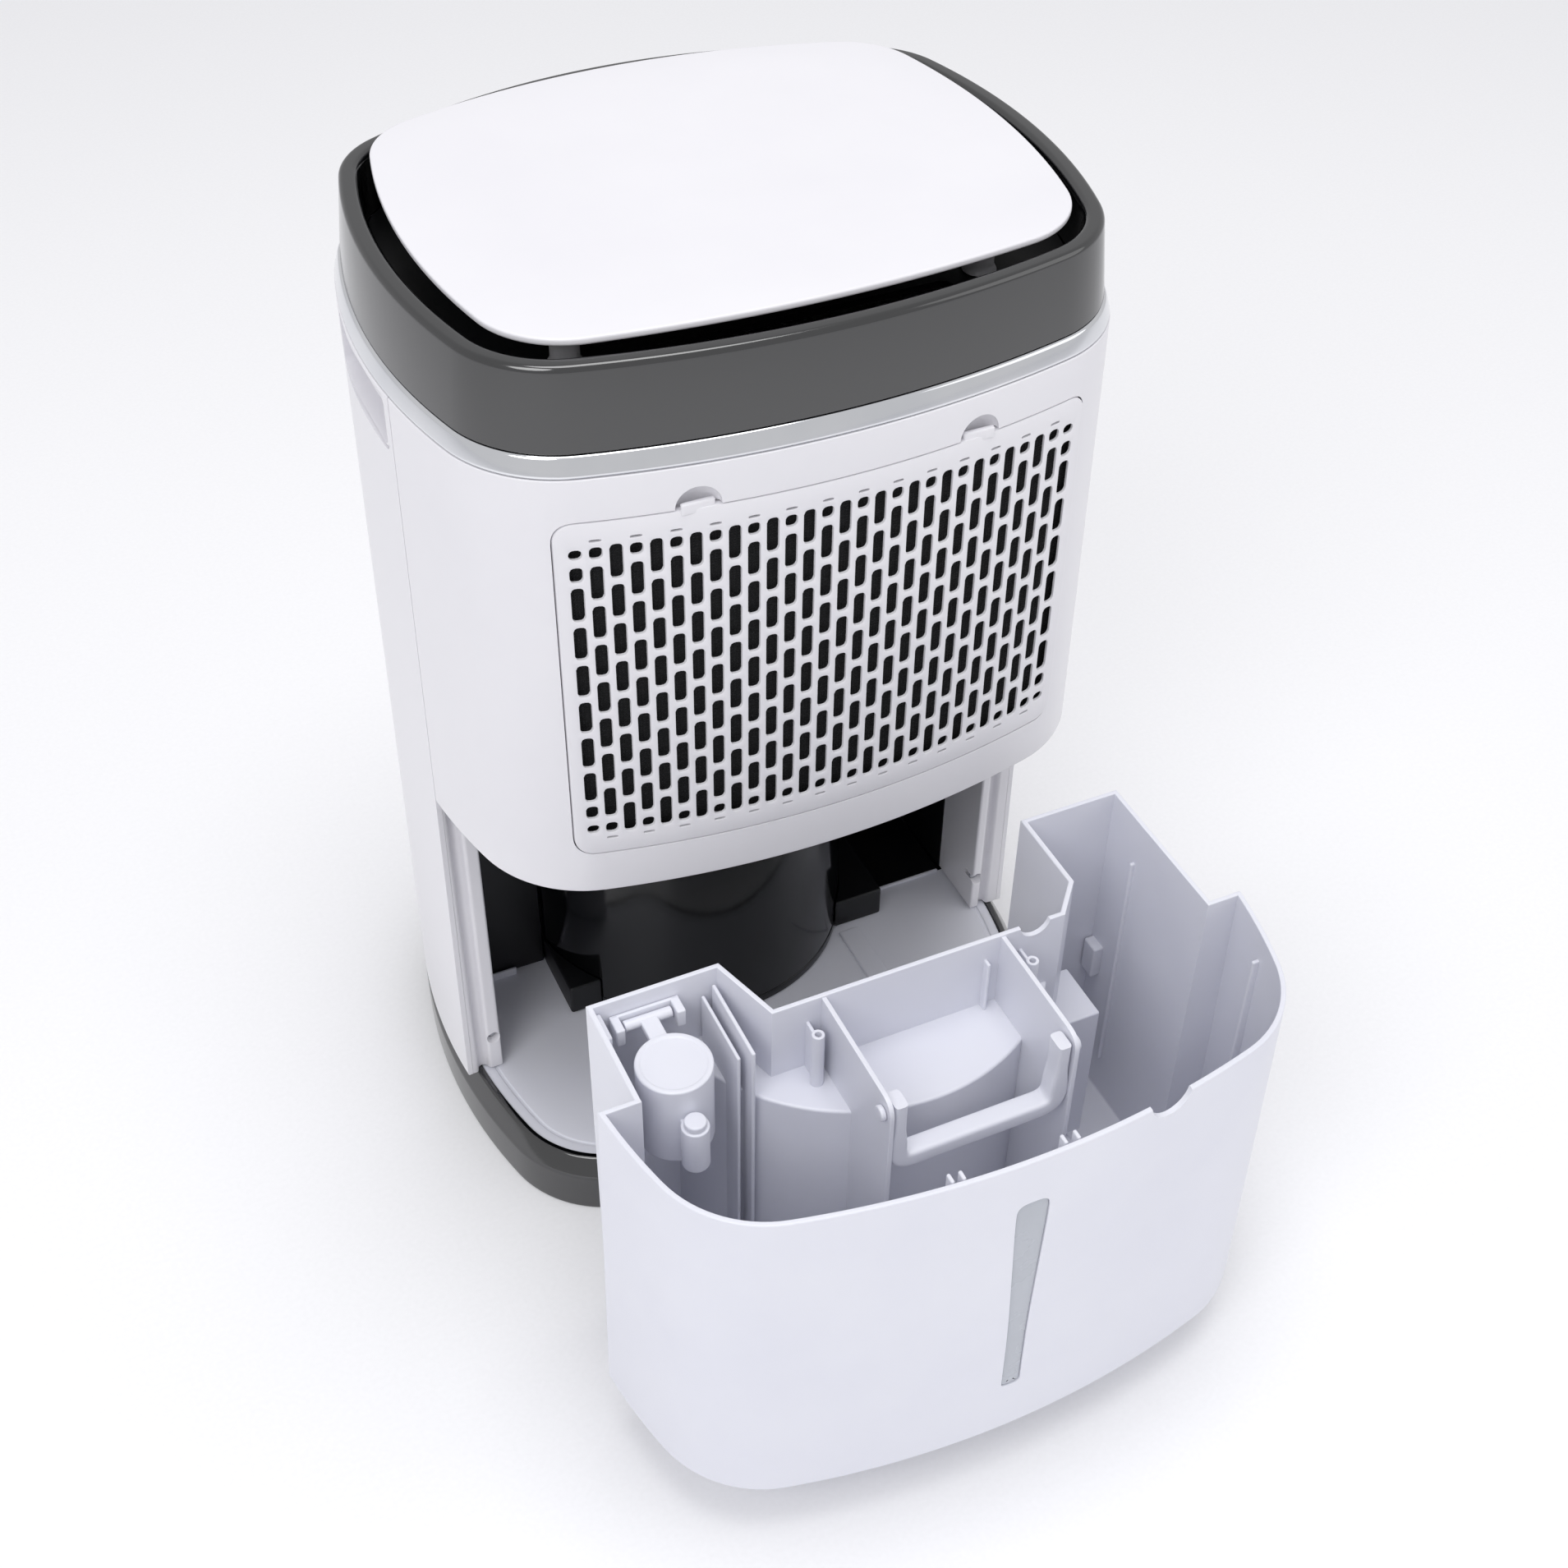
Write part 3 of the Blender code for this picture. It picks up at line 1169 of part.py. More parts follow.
def make_float(white, steel, slide):
    """A float on a short lever, which lifts as the tank fills and carries the sensing magnet."""
    top = TANK_TOP - FLOAT_DROP
    low = top - FLOAT_HEIGHT
    y = FLOAT_Y + TANK_TRAVEL
    front = LEG_LEFT_FRONT + TANK_TRAVEL
    axle_y = front + 7.5
    axle_z = top - 3.0
    axle_place = (FLOAT_X, axle_y, axle_z)
    hinge = empty("float_hinge", axle_place, slide)
    profile = [
        (FLOAT_RADIUS - 1.5, low),
        (FLOAT_RADIUS, low + 1.5),
        (FLOAT_RADIUS, top - 1.5),
        (FLOAT_RADIUS - 1.5, top),
    ]
    body = turned(FLOAT_X, y, profile, 28)
    made = finish(body, "tank_float", white, place=axle_place, parent=hinge)
    reach = y - FLOAT_RADIUS + 3.0
    lever = box(FLOAT_X - 4.0, FLOAT_X + 4.0, axle_y, reach, axle_z - 2.0, axle_z + 2.0)
    join_with(made, lever, "float_lever")
    axle = cylinder_x(axle_y, axle_z, 2.5, FLOAT_X - 11.0, FLOAT_X + 11.0, 12)
    join_with(made, axle, "float_axle")
    magnet_y = y + FLOAT_RADIUS + MAGNET_RADIUS + 0.5
    seat = top - FLOAT_HEIGHT * 0.35
    socket = cylinder_z(FLOAT_X, magnet_y, MAGNET_RADIUS + 1.2, low + 5.0, seat, 16)
    join_with(made, socket, "magnet_socket")
    place = (FLOAT_X, magnet_y, seat + GAP)
    magnet = cylinder_z(*place[:2], MAGNET_RADIUS, place[2], place[2] + 3.0, 14)
    finish(magnet, "float_magnet", steel, place=place, parent=hinge)
    x0, x1 = FLOAT_X - 16.0, FLOAT_X + 16.0
    back = front + TANK_WALL + GAP
    block = box(x0, x1, back, front + 12.5, axle_z - 6.0, axle_z + 3.5)
    clip = finish(block, "float_clip", white, parent=slide)
    mouth = box(x0 + 4.0, x1 - 4.0, back + 1.7, front + 20.0, axle_z - 9.0, axle_z + 9.0)
    cut_with(clip, mouth, "clip_mouth")


def main():
    clear_scene()
    white = material("white_plastic", WHITE, 0.32)
    tank_white = material("tank_plastic", "E4E6EE", 0.38)
    black = material("black_plastic", BLACK, 0.35)
    gloss = material("gloss_black", "060708", 0.08)
    chrome = material("chrome", "D9DBDE", 0.08, 1.0)
    rubber = material("rubber", "161616", 0.85)
    steel = material("steel", "B9BCC0", 0.3, 1.0)
    aluminium = material("aluminium", "C3C7CB", 0.4, 1.0)
    copper = material("copper", "B87348", 0.35, 1.0)
    dark = material("dark_enamel", "1B1D20", 0.45)
    grey = material("window_grey", "B6BAC2", 0.25)
    make_base(gloss, tank_white, rubber)
    make_covers(white, black, steel)
    make_bay(black, steel)
    make_top(white, black, chrome, gloss)
    make_panel(white, black)
    make_cooling(aluminium, copper, black, dark, steel, tank_white)
    make_tank(tank_white, grey, steel)


main()
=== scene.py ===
"""A free-standing compressor dehumidifier with its water tank pulled out at the rear.

Lengths are in millimetres until a mesh is stored. The front faces -Y, the tank comes out along +Y and
the base stands on z = 0. Sections follow the machine as it is put together, from the base upwards.
"""

import json
import math

import bmesh
import bpy
import numpy as np
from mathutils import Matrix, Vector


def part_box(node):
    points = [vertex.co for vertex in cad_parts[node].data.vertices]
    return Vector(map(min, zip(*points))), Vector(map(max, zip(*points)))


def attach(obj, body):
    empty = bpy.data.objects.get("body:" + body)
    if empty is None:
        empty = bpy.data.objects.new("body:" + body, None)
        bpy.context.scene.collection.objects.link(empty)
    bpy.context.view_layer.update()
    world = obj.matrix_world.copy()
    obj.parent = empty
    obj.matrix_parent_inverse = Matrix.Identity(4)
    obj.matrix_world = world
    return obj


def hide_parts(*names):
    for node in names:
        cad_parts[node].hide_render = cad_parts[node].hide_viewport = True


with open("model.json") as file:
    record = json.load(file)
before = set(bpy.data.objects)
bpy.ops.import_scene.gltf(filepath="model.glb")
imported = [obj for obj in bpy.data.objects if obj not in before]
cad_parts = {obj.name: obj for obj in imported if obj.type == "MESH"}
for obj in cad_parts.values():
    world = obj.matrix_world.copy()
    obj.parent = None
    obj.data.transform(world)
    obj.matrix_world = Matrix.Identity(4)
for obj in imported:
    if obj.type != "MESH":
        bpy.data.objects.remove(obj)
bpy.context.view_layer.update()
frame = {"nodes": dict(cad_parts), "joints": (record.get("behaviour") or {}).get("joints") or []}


# ---- Room ----
# A pale seamless floor under three large soft lamps, as in a product booth, and the camera that
# looks down on the rear of the machine from its left.


def linear(text):
    """sRGB hex to linear: c / 12.92 below 0.04045, else ((c + 0.055) / 1.055) ** 2.4."""
    c = np.array([int(text[i : i + 2], 16) for i in (1, 3, 5)]) / 255
    return (*np.where(c <= 0.04045, c / 12.92, ((c + 0.055) / 1.055) ** 2.4), 1.0)


def add_node(tree, kind, links=None, **settings):
    """Adds a node; a setting names an input (spaces as _) or a property, a link gives an input's source."""
    node = tree.nodes.new(kind)
    for key, value in settings.items():
        socket = node.inputs.get(key.replace("_", " "))
        if hasattr(node, key):
            setattr(node, key, value)
        else:
            socket.default_value = value
    for key, source in (links or {}).items():
        tree.links.new(source, node.inputs[key])
    return node


def shader_of(name, colour, roughness, **settings):
    """A new material of a Principled shader with constant sockets; returns (material, tree, shader)."""
    made = bpy.data.materials.new(name)
    made.use_nodes = True
    tree = made.node_tree
    shader = tree.nodes["Principled BSDF"]
    shader.inputs["Base Color"].default_value = linear(colour)
    shader.inputs["Roughness"].default_value = roughness
    for key, value in settings.items():
        shader.inputs[key.replace("_", " ")].default_value = value
    return made, tree, shader


def rough_between(tree, shader, source, low, high):
    """Roughness runs from low to high as the source runs from 0.2 to 0.8."""
    span = add_node(tree, "ShaderNodeMapRange", {"Value": source},
                    From_Min=0.2, From_Max=0.8, To_Min=low, To_Max=high)
    tree.links.new(span.outputs["Result"], shader.inputs["Roughness"])


def colour_between(tree, shader, source, first, second):
    """Base colour runs from one hex to the other as the source runs from 0.2 to 0.8."""
    ramp = add_node(tree, "ShaderNodeValToRGB", {"Fac": source})
    for element, position, colour in zip(ramp.color_ramp.elements, (0.2, 0.8), (first, second)):
        element.position = position
        element.color = linear(colour)
    tree.links.new(ramp.outputs["Color"], shader.inputs["Base Color"])


def bump_from(tree, shader, source, depth_mm, strength=1.0):
    """Raises the surface by source times depth_mm."""
    bump = add_node(tree, "ShaderNodeBump", {"Height": source}, Strength=strength, Distance=depth_mm / 1000)
    tree.links.new(bump.outputs["Normal"], shader.inputs["Normal"])


def object_place(tree):
    """The object's own coordinates in metres."""
    return add_node(tree, "ShaderNodeTexCoord").outputs["Object"]


def noise_of(tree, scale, detail, roughness=0.5):
    """A noise over the object's own coordinates in metres."""
    noise = add_node(tree, "ShaderNodeTexNoise", {"Vector": object_place(tree)},
                     Scale=scale, Detail=detail, Roughness=roughness)
    return noise.outputs["Fac"]


def mottled(name, colour, roughness, drift, tones, dull, relief=None, grain=None, **settings):
    """A material whose colour runs between two tones, and its roughness between two values, with the noise
    `drift`. The noise `grain`, or else that same noise, raises it by `relief`: depth in mm, then strength."""
    made, tree, shader = shader_of(name, colour, roughness, **settings)
    cloud = noise_of(tree, *drift)
    colour_between(tree, shader, cloud, *tones)
    rough_between(tree, shader, cloud, *dull)
    if relief:
        bump_from(tree, shader, noise_of(tree, *grain) if grain else cloud, *relief)
    return made


FLOOR_REACH = 6.0
floor_mesh = bpy.data.meshes.new("floor")
floor_corners = [(x * FLOOR_REACH, y * FLOOR_REACH, 0) for x, y in ((-1, -1), (1, -1), (1, 1), (-1, 1))]
floor_mesh.from_pydata(floor_corners, [], [(0, 1, 2, 3)])
floor = bpy.data.objects.new("floor", floor_mesh)
bpy.context.scene.collection.objects.link(floor)
floor_mesh.materials.append(
    mottled("matt_paper_floor", "#F6F6F8", 0.9, (400.0, 4.0), ("#F4F4F6", "#F8F8FA"), (0.85, 0.95)))

world = bpy.data.worlds.new("booth")
bpy.context.scene.world = world
bpy.context.scene.view_settings.view_transform = "Standard"
world.use_nodes = True
backdrop = world.node_tree.nodes["Background"].inputs
backdrop["Color"].default_value = linear("#FAFAFC")
backdrop["Strength"].default_value = 0.68

for name, spot, aim, size, power in (
    ("key_lamp", (1.7, 1.5, 2.4), (0.0, 0.1, 0.2), 1.6, 24.0),
    ("fill_lamp", (-2.2, 1.4, 1.6), (0.0, 0.1, 0.25), 2.0, 7.0),
    ("top_lamp", (0.0, 0.3, 2.8), (0.0, 0.15, 0.2), 1.6, 23.0),
):
    lamp = bpy.data.lights.new(name, "AREA")
    lamp.shape = "DISK"
    lamp.size = size
    lamp.energy = power
    held = bpy.data.objects.new(name, lamp)
    bpy.context.scene.collection.objects.link(held)
    held.location = spot
    held.rotation_euler = (Vector(aim) - Vector(spot)).to_track_quat("-Z", "Y").to_euler()

# The camera's angles are in radians and its place in metres.
turn, rise, roll = 0.445, 0.7433, 0.018
stand = (0.3258, 0.7577, 0.9164)
ahead = np.array([-math.sin(turn) * math.cos(rise), -math.cos(turn) * math.cos(rise), -math.sin(rise)])
across = np.cross(ahead, (0, 0, 1))
across /= np.linalg.norm(across)
above = np.cross(across, ahead)
right = math.cos(roll) * across + math.sin(roll) * above
up = -math.sin(roll) * across + math.cos(roll) * above
camera = bpy.data.cameras.new("camera")
camera.lens = 49.31
camera.sensor_width = 36.0
camera.clip_end = 50.0
viewer = bpy.data.objects.new("camera", camera)
bpy.context.scene.collection.objects.link(viewer)
basis = np.eye(4)
basis[:3] = np.column_stack([right, up, -ahead, stand])
viewer.matrix_world = Matrix(basis.tolist())
bpy.context.scene.camera = viewer


# ---- Base pan ----
# The black pan that carries everything: injection-moulded ABS polished to a piano gloss, with a bevelled
# upper edge and four rubber pads pressed into its underside.

BODY = dict(half_width=150.3, rear=119.8, front=128.1, rear_radius=449.0, front_radius=261.0,
            side_radius=271.0, rear_corner=48.0, front_corner=40.0)
POLE = 0.01  # Radius of the small cap that closes a turned body on its axis.
FINE = 128  # Steps round the compressor cover and what clears it.


def mm_box(node):
    """A CAD node's lowest and highest corners in millimetres."""
    return np.array(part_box(node)) * 1000


def arc(centre, radius, start, end, count):
    """centre + radius (cos a, sin a), with a even from start to end."""
    a = np.linspace(start, end, count)
    return np.column_stack([centre[0] + radius * np.cos(a), centre[1] + radius * np.sin(a)])


def half_plan(plan, out, y_from=None, y_to=None):
    """The +X half of a plan set out by `out`, front to rear: an end arc, a corner arc, the side arc, a corner
    arc and an end arc. A corner's centre is where circles of (side radius - corner) round the side's centre and
    (end radius - corner) round the end's centre meet. y_from or y_to starts or ends it on the side arc."""
    side_r, front_r, rear_r = (plan[k] + out for k in ("side_radius", "front_radius", "rear_radius"))
    side = np.array([plan["half_width"] + out - side_r, 0.0])
    front = np.array([0.0, front_r - plan["front"] - out])
    rear = np.array([0.0, plan["rear"] + out - rear_r])

    def corner(end, end_r, corner_r):
        a, b = side_r - corner_r, end_r - corner_r
        gap = end - side
        apart = np.hypot(*gap)
        along = (a**2 - b**2 + apart**2) / (2 * apart)
        over = math.sqrt(max(a**2 - along**2, 0.0))
        unit = gap / apart
        spots = [side + along * unit + sign * over * np.array([-unit[1], unit[0]]) for sign in (1, -1)]
        return max(spots, key=lambda spot: spot[0])

    angle = lambda a, b: math.atan2(b[1] - a[1], b[0] - a[0])
    low = corner(front, front_r, plan["front_corner"] + out)
    high = corner(rear, rear_r, plan["rear_corner"] + out)
    start, end = angle(side, low), angle(side, high)
    parts = []
    if y_from is None:
        turn_at = angle(front, low)
        parts += [arc(front, front_r, -math.pi / 2, turn_at, 26)[:-1]]
        parts += [arc(low, plan["front_corner"] + out, turn_at, start, 16)[:-1]]
    else:
        start = math.asin(y_from / side_r)
    if y_to is not None:
        end = math.asin(y_to / side_r)
        return np.concatenate(parts + [arc(side, side_r, start, end, 22)])
    turn_at = angle(rear, high)
    parts += [arc(side, side_r, start, end, 22)[:-1]]
    parts += [arc(high, plan["rear_corner"] + out, end, turn_at, 16)[:-1]]
    return np.concatenate(parts + [arc(rear, rear_r, turn_at, math.pi / 2, 32)])


def whole_plan(plan, out):
    """Both halves of a plan as one closed line, counterclockwise."""
    half = half_plan(plan, out)
    return np.concatenate([half, half[-2:0:-1] * (-1, 1)])


def body_out(z):
    """How far the body stands out beyond its plan: linear from 11.5 at the floor to 7.8 at z = 450.6."""
    return 11.5 - 3.7 * z / 450.6


def fillet(points, radius, steps=5):
    """Each corner P of a closed line becomes (1-s)^2 A + 2s(1-s) P + s^2 B, with A and B `radius` away along
    its two edges, but never past 0.48 of an edge. A radius of 0 keeps the point."""
    p = np.asarray(points, float)
    r = np.broadcast_to(np.asarray(radius, float), len(p))
    back, on = np.roll(p, 1, 0) - p, np.roll(p, -1, 0) - p
    back_length, on_length = np.linalg.norm(back, axis=1), np.linalg.norm(on, axis=1)
    t = np.minimum(r, 0.48 * np.minimum(back_length, on_length))[:, None]
    a, b = p + back / back_length[:, None] * t, p + on / on_length[:, None] * t
    s = np.linspace(0, 1, steps + 1)[None, :, None]
    curve = (1 - s) ** 2 * a[:, None] + 2 * s * (1 - s) * p[:, None] + s**2 * b[:, None]
    return curve[(r[:, None] > 0) | (np.arange(steps + 1) == 0)]


def sweep(path, profile):
    """Rings of points: path(out) at height z for each (out, z) of the profile."""
    rings = [path(out) for out, _ in profile]
    return np.stack([np.column_stack([ring, np.full(len(ring), z)]) for ring, (_, z) in zip(rings, profile)])


def quads(rows, columns, wrap_rows=False, wrap_columns=True):
    """Faces (i,j) (i,j+1) (i+1,j+1) (i+1,j) of a grid of points, running on past a wrapped edge."""
    i = np.arange(rows if wrap_rows else rows - 1)[:, None]
    j = np.arange(columns if wrap_columns else columns - 1)[None]
    k, n = (i + 1) % rows, (j + 1) % columns
    corners = [i * columns + j, i * columns + n, k * columns + n, k * columns + j]
    return np.stack(corners, -1).reshape(-1, 4).tolist()


def mesh_of(name, points, faces):
    """Stores points in metres, joins points that meet and turns every face of the closed body outwards."""
    mesh = bpy.data.meshes.new(name)
    mesh.from_pydata((np.asarray(points).reshape(-1, 3) / 1000).tolist(), [], faces)
    body = bmesh.new()
    body.from_mesh(mesh)
    bmesh.ops.remove_doubles(body, verts=body.verts, dist=2e-6)
    bmesh.ops.recalc_face_normals(body, faces=body.faces)
    body.to_mesh(mesh)
    body.free()
    made = bpy.data.objects.new(name, mesh)
    bpy.context.scene.collection.objects.link(made)
    return made


def solid(name, rings, wrap_rows=False, wrap_columns=True):
    """A closed body from a grid of points; rows or columns that don't wrap end in a flat cap."""
    rows, columns = rings.shape[:2]
    faces = quads(rows, columns, wrap_rows, wrap_columns)
    index = np.arange(rows * columns).reshape(rows, columns)
    if not wrap_rows:
        faces += [index[0].tolist(), index[-1].tolist()]
    if not wrap_columns:
        faces += [index[:, 0].tolist(), index[:, -1].tolist()]
    return mesh_of(name, rings, faces)


def finished(made, body, slot, material, nodes=(), bevel=0.0, crease=30, segments=3):
    """Gives a piece its material, smooth shading with creases over an angle and its body, and hides the CAD
    nodes it stands for. Its slot is not used."""
    made.data.materials.clear()
    made.data.materials.append(material)
    made.data.shade_smooth()
    made.data.set_sharp_from_angle(angle=math.radians(crease))
    if bevel:
        edge = made.modifiers.new("edge", "BEVEL")
        edge.width = bevel / 1000
        edge.segments = segments
        edge.limit_method = "ANGLE"
        edge.angle_limit = math.radians(crease)
        edge.harden_normals = True
    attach(made, body)
    if nodes:
        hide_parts(*nodes)
    return made


def dressed(names, material):
    """CAD nodes keep their shape and take this material."""
    for name in names:
        item = frame["nodes"][name]
        item.data.materials.clear()
        item.data.materials.append(material)


def body_ring(name, profile, wrap_rows=False):
    """A solid that follows the whole body plan, from (set-out, z) pairs."""
    return solid(name, sweep(lambda out: whole_plan(BODY, out), profile), wrap_rows)


# Piano-black ABS: a deep clear gloss whose reflection wavers a little (orange peel about 8 mm across),
# with a haze of fine wiping marks that dulls it in patches.
gloss_black = mottled("piano_black_abs", "#050607", 0.1, (22.0, 6.0, 0.6), ("#040506", "#08090B"),
                      (0.07, 0.16), (0.02, 1.0), (120.0, 1.0), IOR=1.42)

# The outer black parts have a harder, more mirror-like lacquer over the ABS: the floor shows in them as grey.
lacquer = mottled("lacquered_black_abs", "#050607", 0.08, (16.0, 6.0, 0.6), ("#040506", "#0A0B0D"),
                  (0.06, 0.16), (0.02, 1.0), (120.0, 1.0), IOR=1.95)

# Rubber: matt, with the fine pitting of a moulded pad (0.6 mm).
rubber = mottled("moulded_rubber", "#17181A", 0.8, (1600.0, 3.0), ("#141517", "#1E1F22"), (0.7, 0.92),
                 (0.15, 1.0), IOR=1.5)
dressed([f"foot_pad_{i}" for i in (1, 2, 3, 4)], rubber)

tray_low, tray_high = mm_box("tank_tray")
base_top = mm_box("base_pan")[1][2]
edge_out = body_out(base_top)
hub_out, seat_out, seat_z = -16.0, edge_out - 9.0, tray_low[2] - 0.3
base_profile = fillet(
    [(hub_out, 0.8), (6.5, 0.8), (7.5, 0.0), (11.0, 0.0), (body_out(0) - 0.3, 2.0),
     (edge_out, base_top - 10.0), (edge_out - 6.0, base_top), (seat_out, base_top), (seat_out, seat_z),
     (hub_out, seat_z)],
    [0, 0.4, 0.3, 0.8, 1.0, 1.4, 1.2, 0.5, 0, 0], 4)
finished(body_ring("base_ring", base_profile), "housing", "gloss_black", lacquer, ["base_pan"])


# ---- Tank tray ----
# The floor of the tank bay: a plain polypropylene plate dropped into the base, with a drip groove round its
# edge and a low rail that the tank's underside slides past.


def inset(points, distance):
    """A counterclockwise closed line moved inwards: p + m 2d / |m|^2, with m the sum of both edges' unit
    normals."""
    on = np.roll(points, -1, 0) - points
    normal = np.column_stack([-on[:, 1], on[:, 0]]) / np.linalg.norm(on, axis=1)[:, None]
    mitre = normal + np.roll(normal, 1, 0)
    return points + mitre * (2 * distance / (mitre**2).sum(1))[:, None]


def post(name, line, low, high, edge=0.5, steps=3):
    """A plan outline carried up from low to high, its two ends rounded by `edge`."""
    profile = fillet([(3 * edge, low), (0, low), (0, high), (3 * edge, high)], [0, edge, edge, 0], steps)
    return solid(name, sweep(lambda distance: inset(line, distance), profile))


def block(name, x, y, z, edge=0.8):
    """A box with rounded edges: a grid over its skin, pulled onto core + edge * unit(offset from core)."""
    low, high = np.array([x, y, z], float).T
    centre, half = (low + high) / 2, (high - low) / 2
    r = min(edge, 0.49 * 2 * half.min())
    steps = r * np.tan(np.radians([0, 15, 30, 45]))
    line = [np.concatenate([-(h - r) - steps[::-1], (h - r) + steps]) for h in half]
    count = 2 * len(steps)
    points, faces = [], []
    for axis in range(3):
        u, v = [i for i in range(3) if i != axis]
        for side in (-1, 1):
            grid = np.empty((count, count, 3))
            grid[..., u], grid[..., v] = np.meshgrid(line[u], line[v], indexing="ij")
            grid[..., axis] = side * half[axis]
            start = len(points) * count**2
            faces += [[start + k for k in face] for face in quads(count, count, False, False)]
            points.append(grid.reshape(-1, 3))
    points = np.concatenate(points)
    core = np.clip(points, -(half - r), half - r)
    offset = points - core
    points = core + offset / np.linalg.norm(offset, axis=1)[:, None] * r
    return mesh_of(name, points + centre, faces)


# Natural-white polypropylene: waxy and a touch blue, the mould's satin grain (0.35 mm) soft in the light,
# slightly cloudy where the melt cooled unevenly.
tank_white = mottled("moulded_polypropylene", "#E0E1EA", 0.36, (14.0, 3.0), ("#DDDEE8", "#E4E5ED"),
                     (0.28, 0.42), (0.02, 0.5), (1500.0, 2.0), IOR=1.49, Subsurface_Weight=0.06,
                     Subsurface_Scale=0.002, Subsurface_Radius=(1.0, 1.0, 1.2))
moulded = ("moulded_white", tank_white)  # A slot's name and its material, for finished().


def carve(target, tools, operation="DIFFERENCE"):
    """Takes the tools from the target, or joins them, or keeps what they share, and stores the new mesh."""
    for tool in tools:
        step = target.modifiers.new("carve", "BOOLEAN")
        step.operation = operation
        step.solver = "MANIFOLD"
        step.object = tool
    bpy.context.view_layer.update()
    graph = bpy.context.evaluated_depsgraph_get()
    mesh = bpy.data.meshes.new_from_object(target.evaluated_get(graph))
    target.modifiers.clear()
    target.data = mesh
    for tool in tools:
        bpy.data.objects.remove(tool, do_unlink=True)
    return target


tray_out, tray_top = edge_out - 9.3, tray_high[2]
hub_out, groove_z = -14.0, tray_top - 0.7
tray_profile = fillet(
    [(hub_out, tray_low[2]), (tray_out, tray_low[2]), (tray_out, tray_top), (tray_out - 5.0, tray_top),
     (tray_out - 5.5, groove_z), (tray_out - 6.7, groove_z), (tray_out - 7.2, tray_top), (hub_out, tray_top)],
    [0, 0.3, 0.6, 0.2, 0.2, 0.2, 0.2, 0], 3)
tray = body_ring("bay_tray", tray_profile)
# The white plate stops at a low lip on the right; the deeper end of that bay has a black floor, and a thin
# black sheet over the side wall there is painted shade.
step_x, step_y = -92.0, -6.0
carve(tray, [block("tray_end_cut", (-175, step_x + 0.5), (-150, step_y), (20, 50), 0.1)])
finished(tray, "housing", *moulded, ["tank_tray"])
for name, x, y, sunk, rise, edge in (
    ("tray_lip_right", (-138.0, step_x), (step_y - 0.6, step_y + 0.9), 0.8, 1.6, 0.5),
    ("tray_lip_left", (112.0, 138.5), (-30.6, -29.1), 0.8, 4.6, 0.5),
    ("tray_rail", (-76, -64), (16, 62), 0.6, 1.1, 0.8),
):
    raised = block(name, x, y, (tray_top - sunk, tray_top + rise), edge)
    finished(raised, "housing", *moulded)


# ---- Compressor cover ----
# A gloss-black drum over the compressor, turned about an upright axis, with a screw tab moulded in white
# at its foot and a zinc-plated screw through the tab.


def turned(name, profile, steps, place):
    """A body turned from (radius, height) pairs; place(r cos a, r sin a, height) gives x, y and z."""
    radius, height = np.asarray(profile, float).T[..., None]
    a = np.linspace(0, 2 * math.pi, steps, endpoint=False)
    return solid(name, np.stack(place(radius * np.cos(a), radius * np.sin(a), height + 0 * a), -1))


def lathe(name, profile, x, y, steps=96):
    """Turned about the upright axis through (x, y)."""
    return turned(name, profile, steps, lambda u, v, h: (x + u, y + v, h))


def lathe_y(name, profile, x, z, steps=48):
    """Turned about the axis along Y through (x, z)."""
    return turned(name, profile, steps, lambda u, v, h: (x + u, h, z + v))


def lathe_x(name, profile, y, z, steps=40):
    """Turned about the axis along X through (y, z)."""
    return turned(name, profile, steps, lambda u, v, h: (h, y + u, z + v))


def rod(radius, low, high):
    """The (radius, height) pairs of a plain cylinder."""
    return [(POLE, low), (radius, low), (radius, high), (POLE, high)]


dome_low, dome_high = mm_box("compressor_cover")
dome_x, dome_y = ((dome_low + dome_high) / 2)[:2]
dome_r = (dome_high - dome_low)[0] / 2
dome_foot, dome_top, dome_wall = dome_low[2], dome_high[2], 2.5
inner_r, ceiling = dome_r - dome_wall, dome_top - dome_wall
drum_profile = fillet(
    [(POLE, dome_top), (dome_r, dome_top), (dome_r, dome_foot), (inner_r, dome_foot), (inner_r, ceiling),
     (POLE, ceiling)],
    [0, 6.0, 0.4, 0.4, 3.0, 0], 6)
drum = lathe("compressor_drum", drum_profile, dome_x, dome_y, FINE)
finished(drum, "housing", "gloss_black", gloss_black, ["compressor_cover"])
flange_line = [(dome_r - 1, dome_foot), (dome_r + 0.28, dome_foot), (dome_r + 0.28, dome_foot + 5),
               (dome_r - 1, dome_foot + 5.6)]
flange = lathe("drum_flange", fillet(flange_line, 0.2, 3), dome_x, dome_y, FINE)
finished(flange, "housing", "gloss_black", gloss_black)

tab_low, tab_high = mm_box("dome_tab")
tab_x, tab_y = ((tab_low + tab_high) / 2)[:2]
tab_line = [(tab_low[0], tab_low[1]), (tab_high[0], tab_low[1]), (tab_high[0], tab_high[1]),
            (tab_low[0], tab_high[1])]
tab = post("screw_tab", fillet(tab_line, [0.3, 0.3, 3.4, 3.4], 6), tab_low[2], tab_high[2], 0.5)
finished(tab, "housing", *moulded, ["dome_tab"])

# Zinc-plated steel: pale bluish metal with a faint cloudiness from the plating and fine turning marks.
zinc = mottled("zinc_plated_steel", "#C3C6CB", 0.3, (260.0, 4.0), ("#B4B8BF", "#D2D4D8"), (0.22, 0.42),
               (0.02, 1.0), Metallic=1.0)


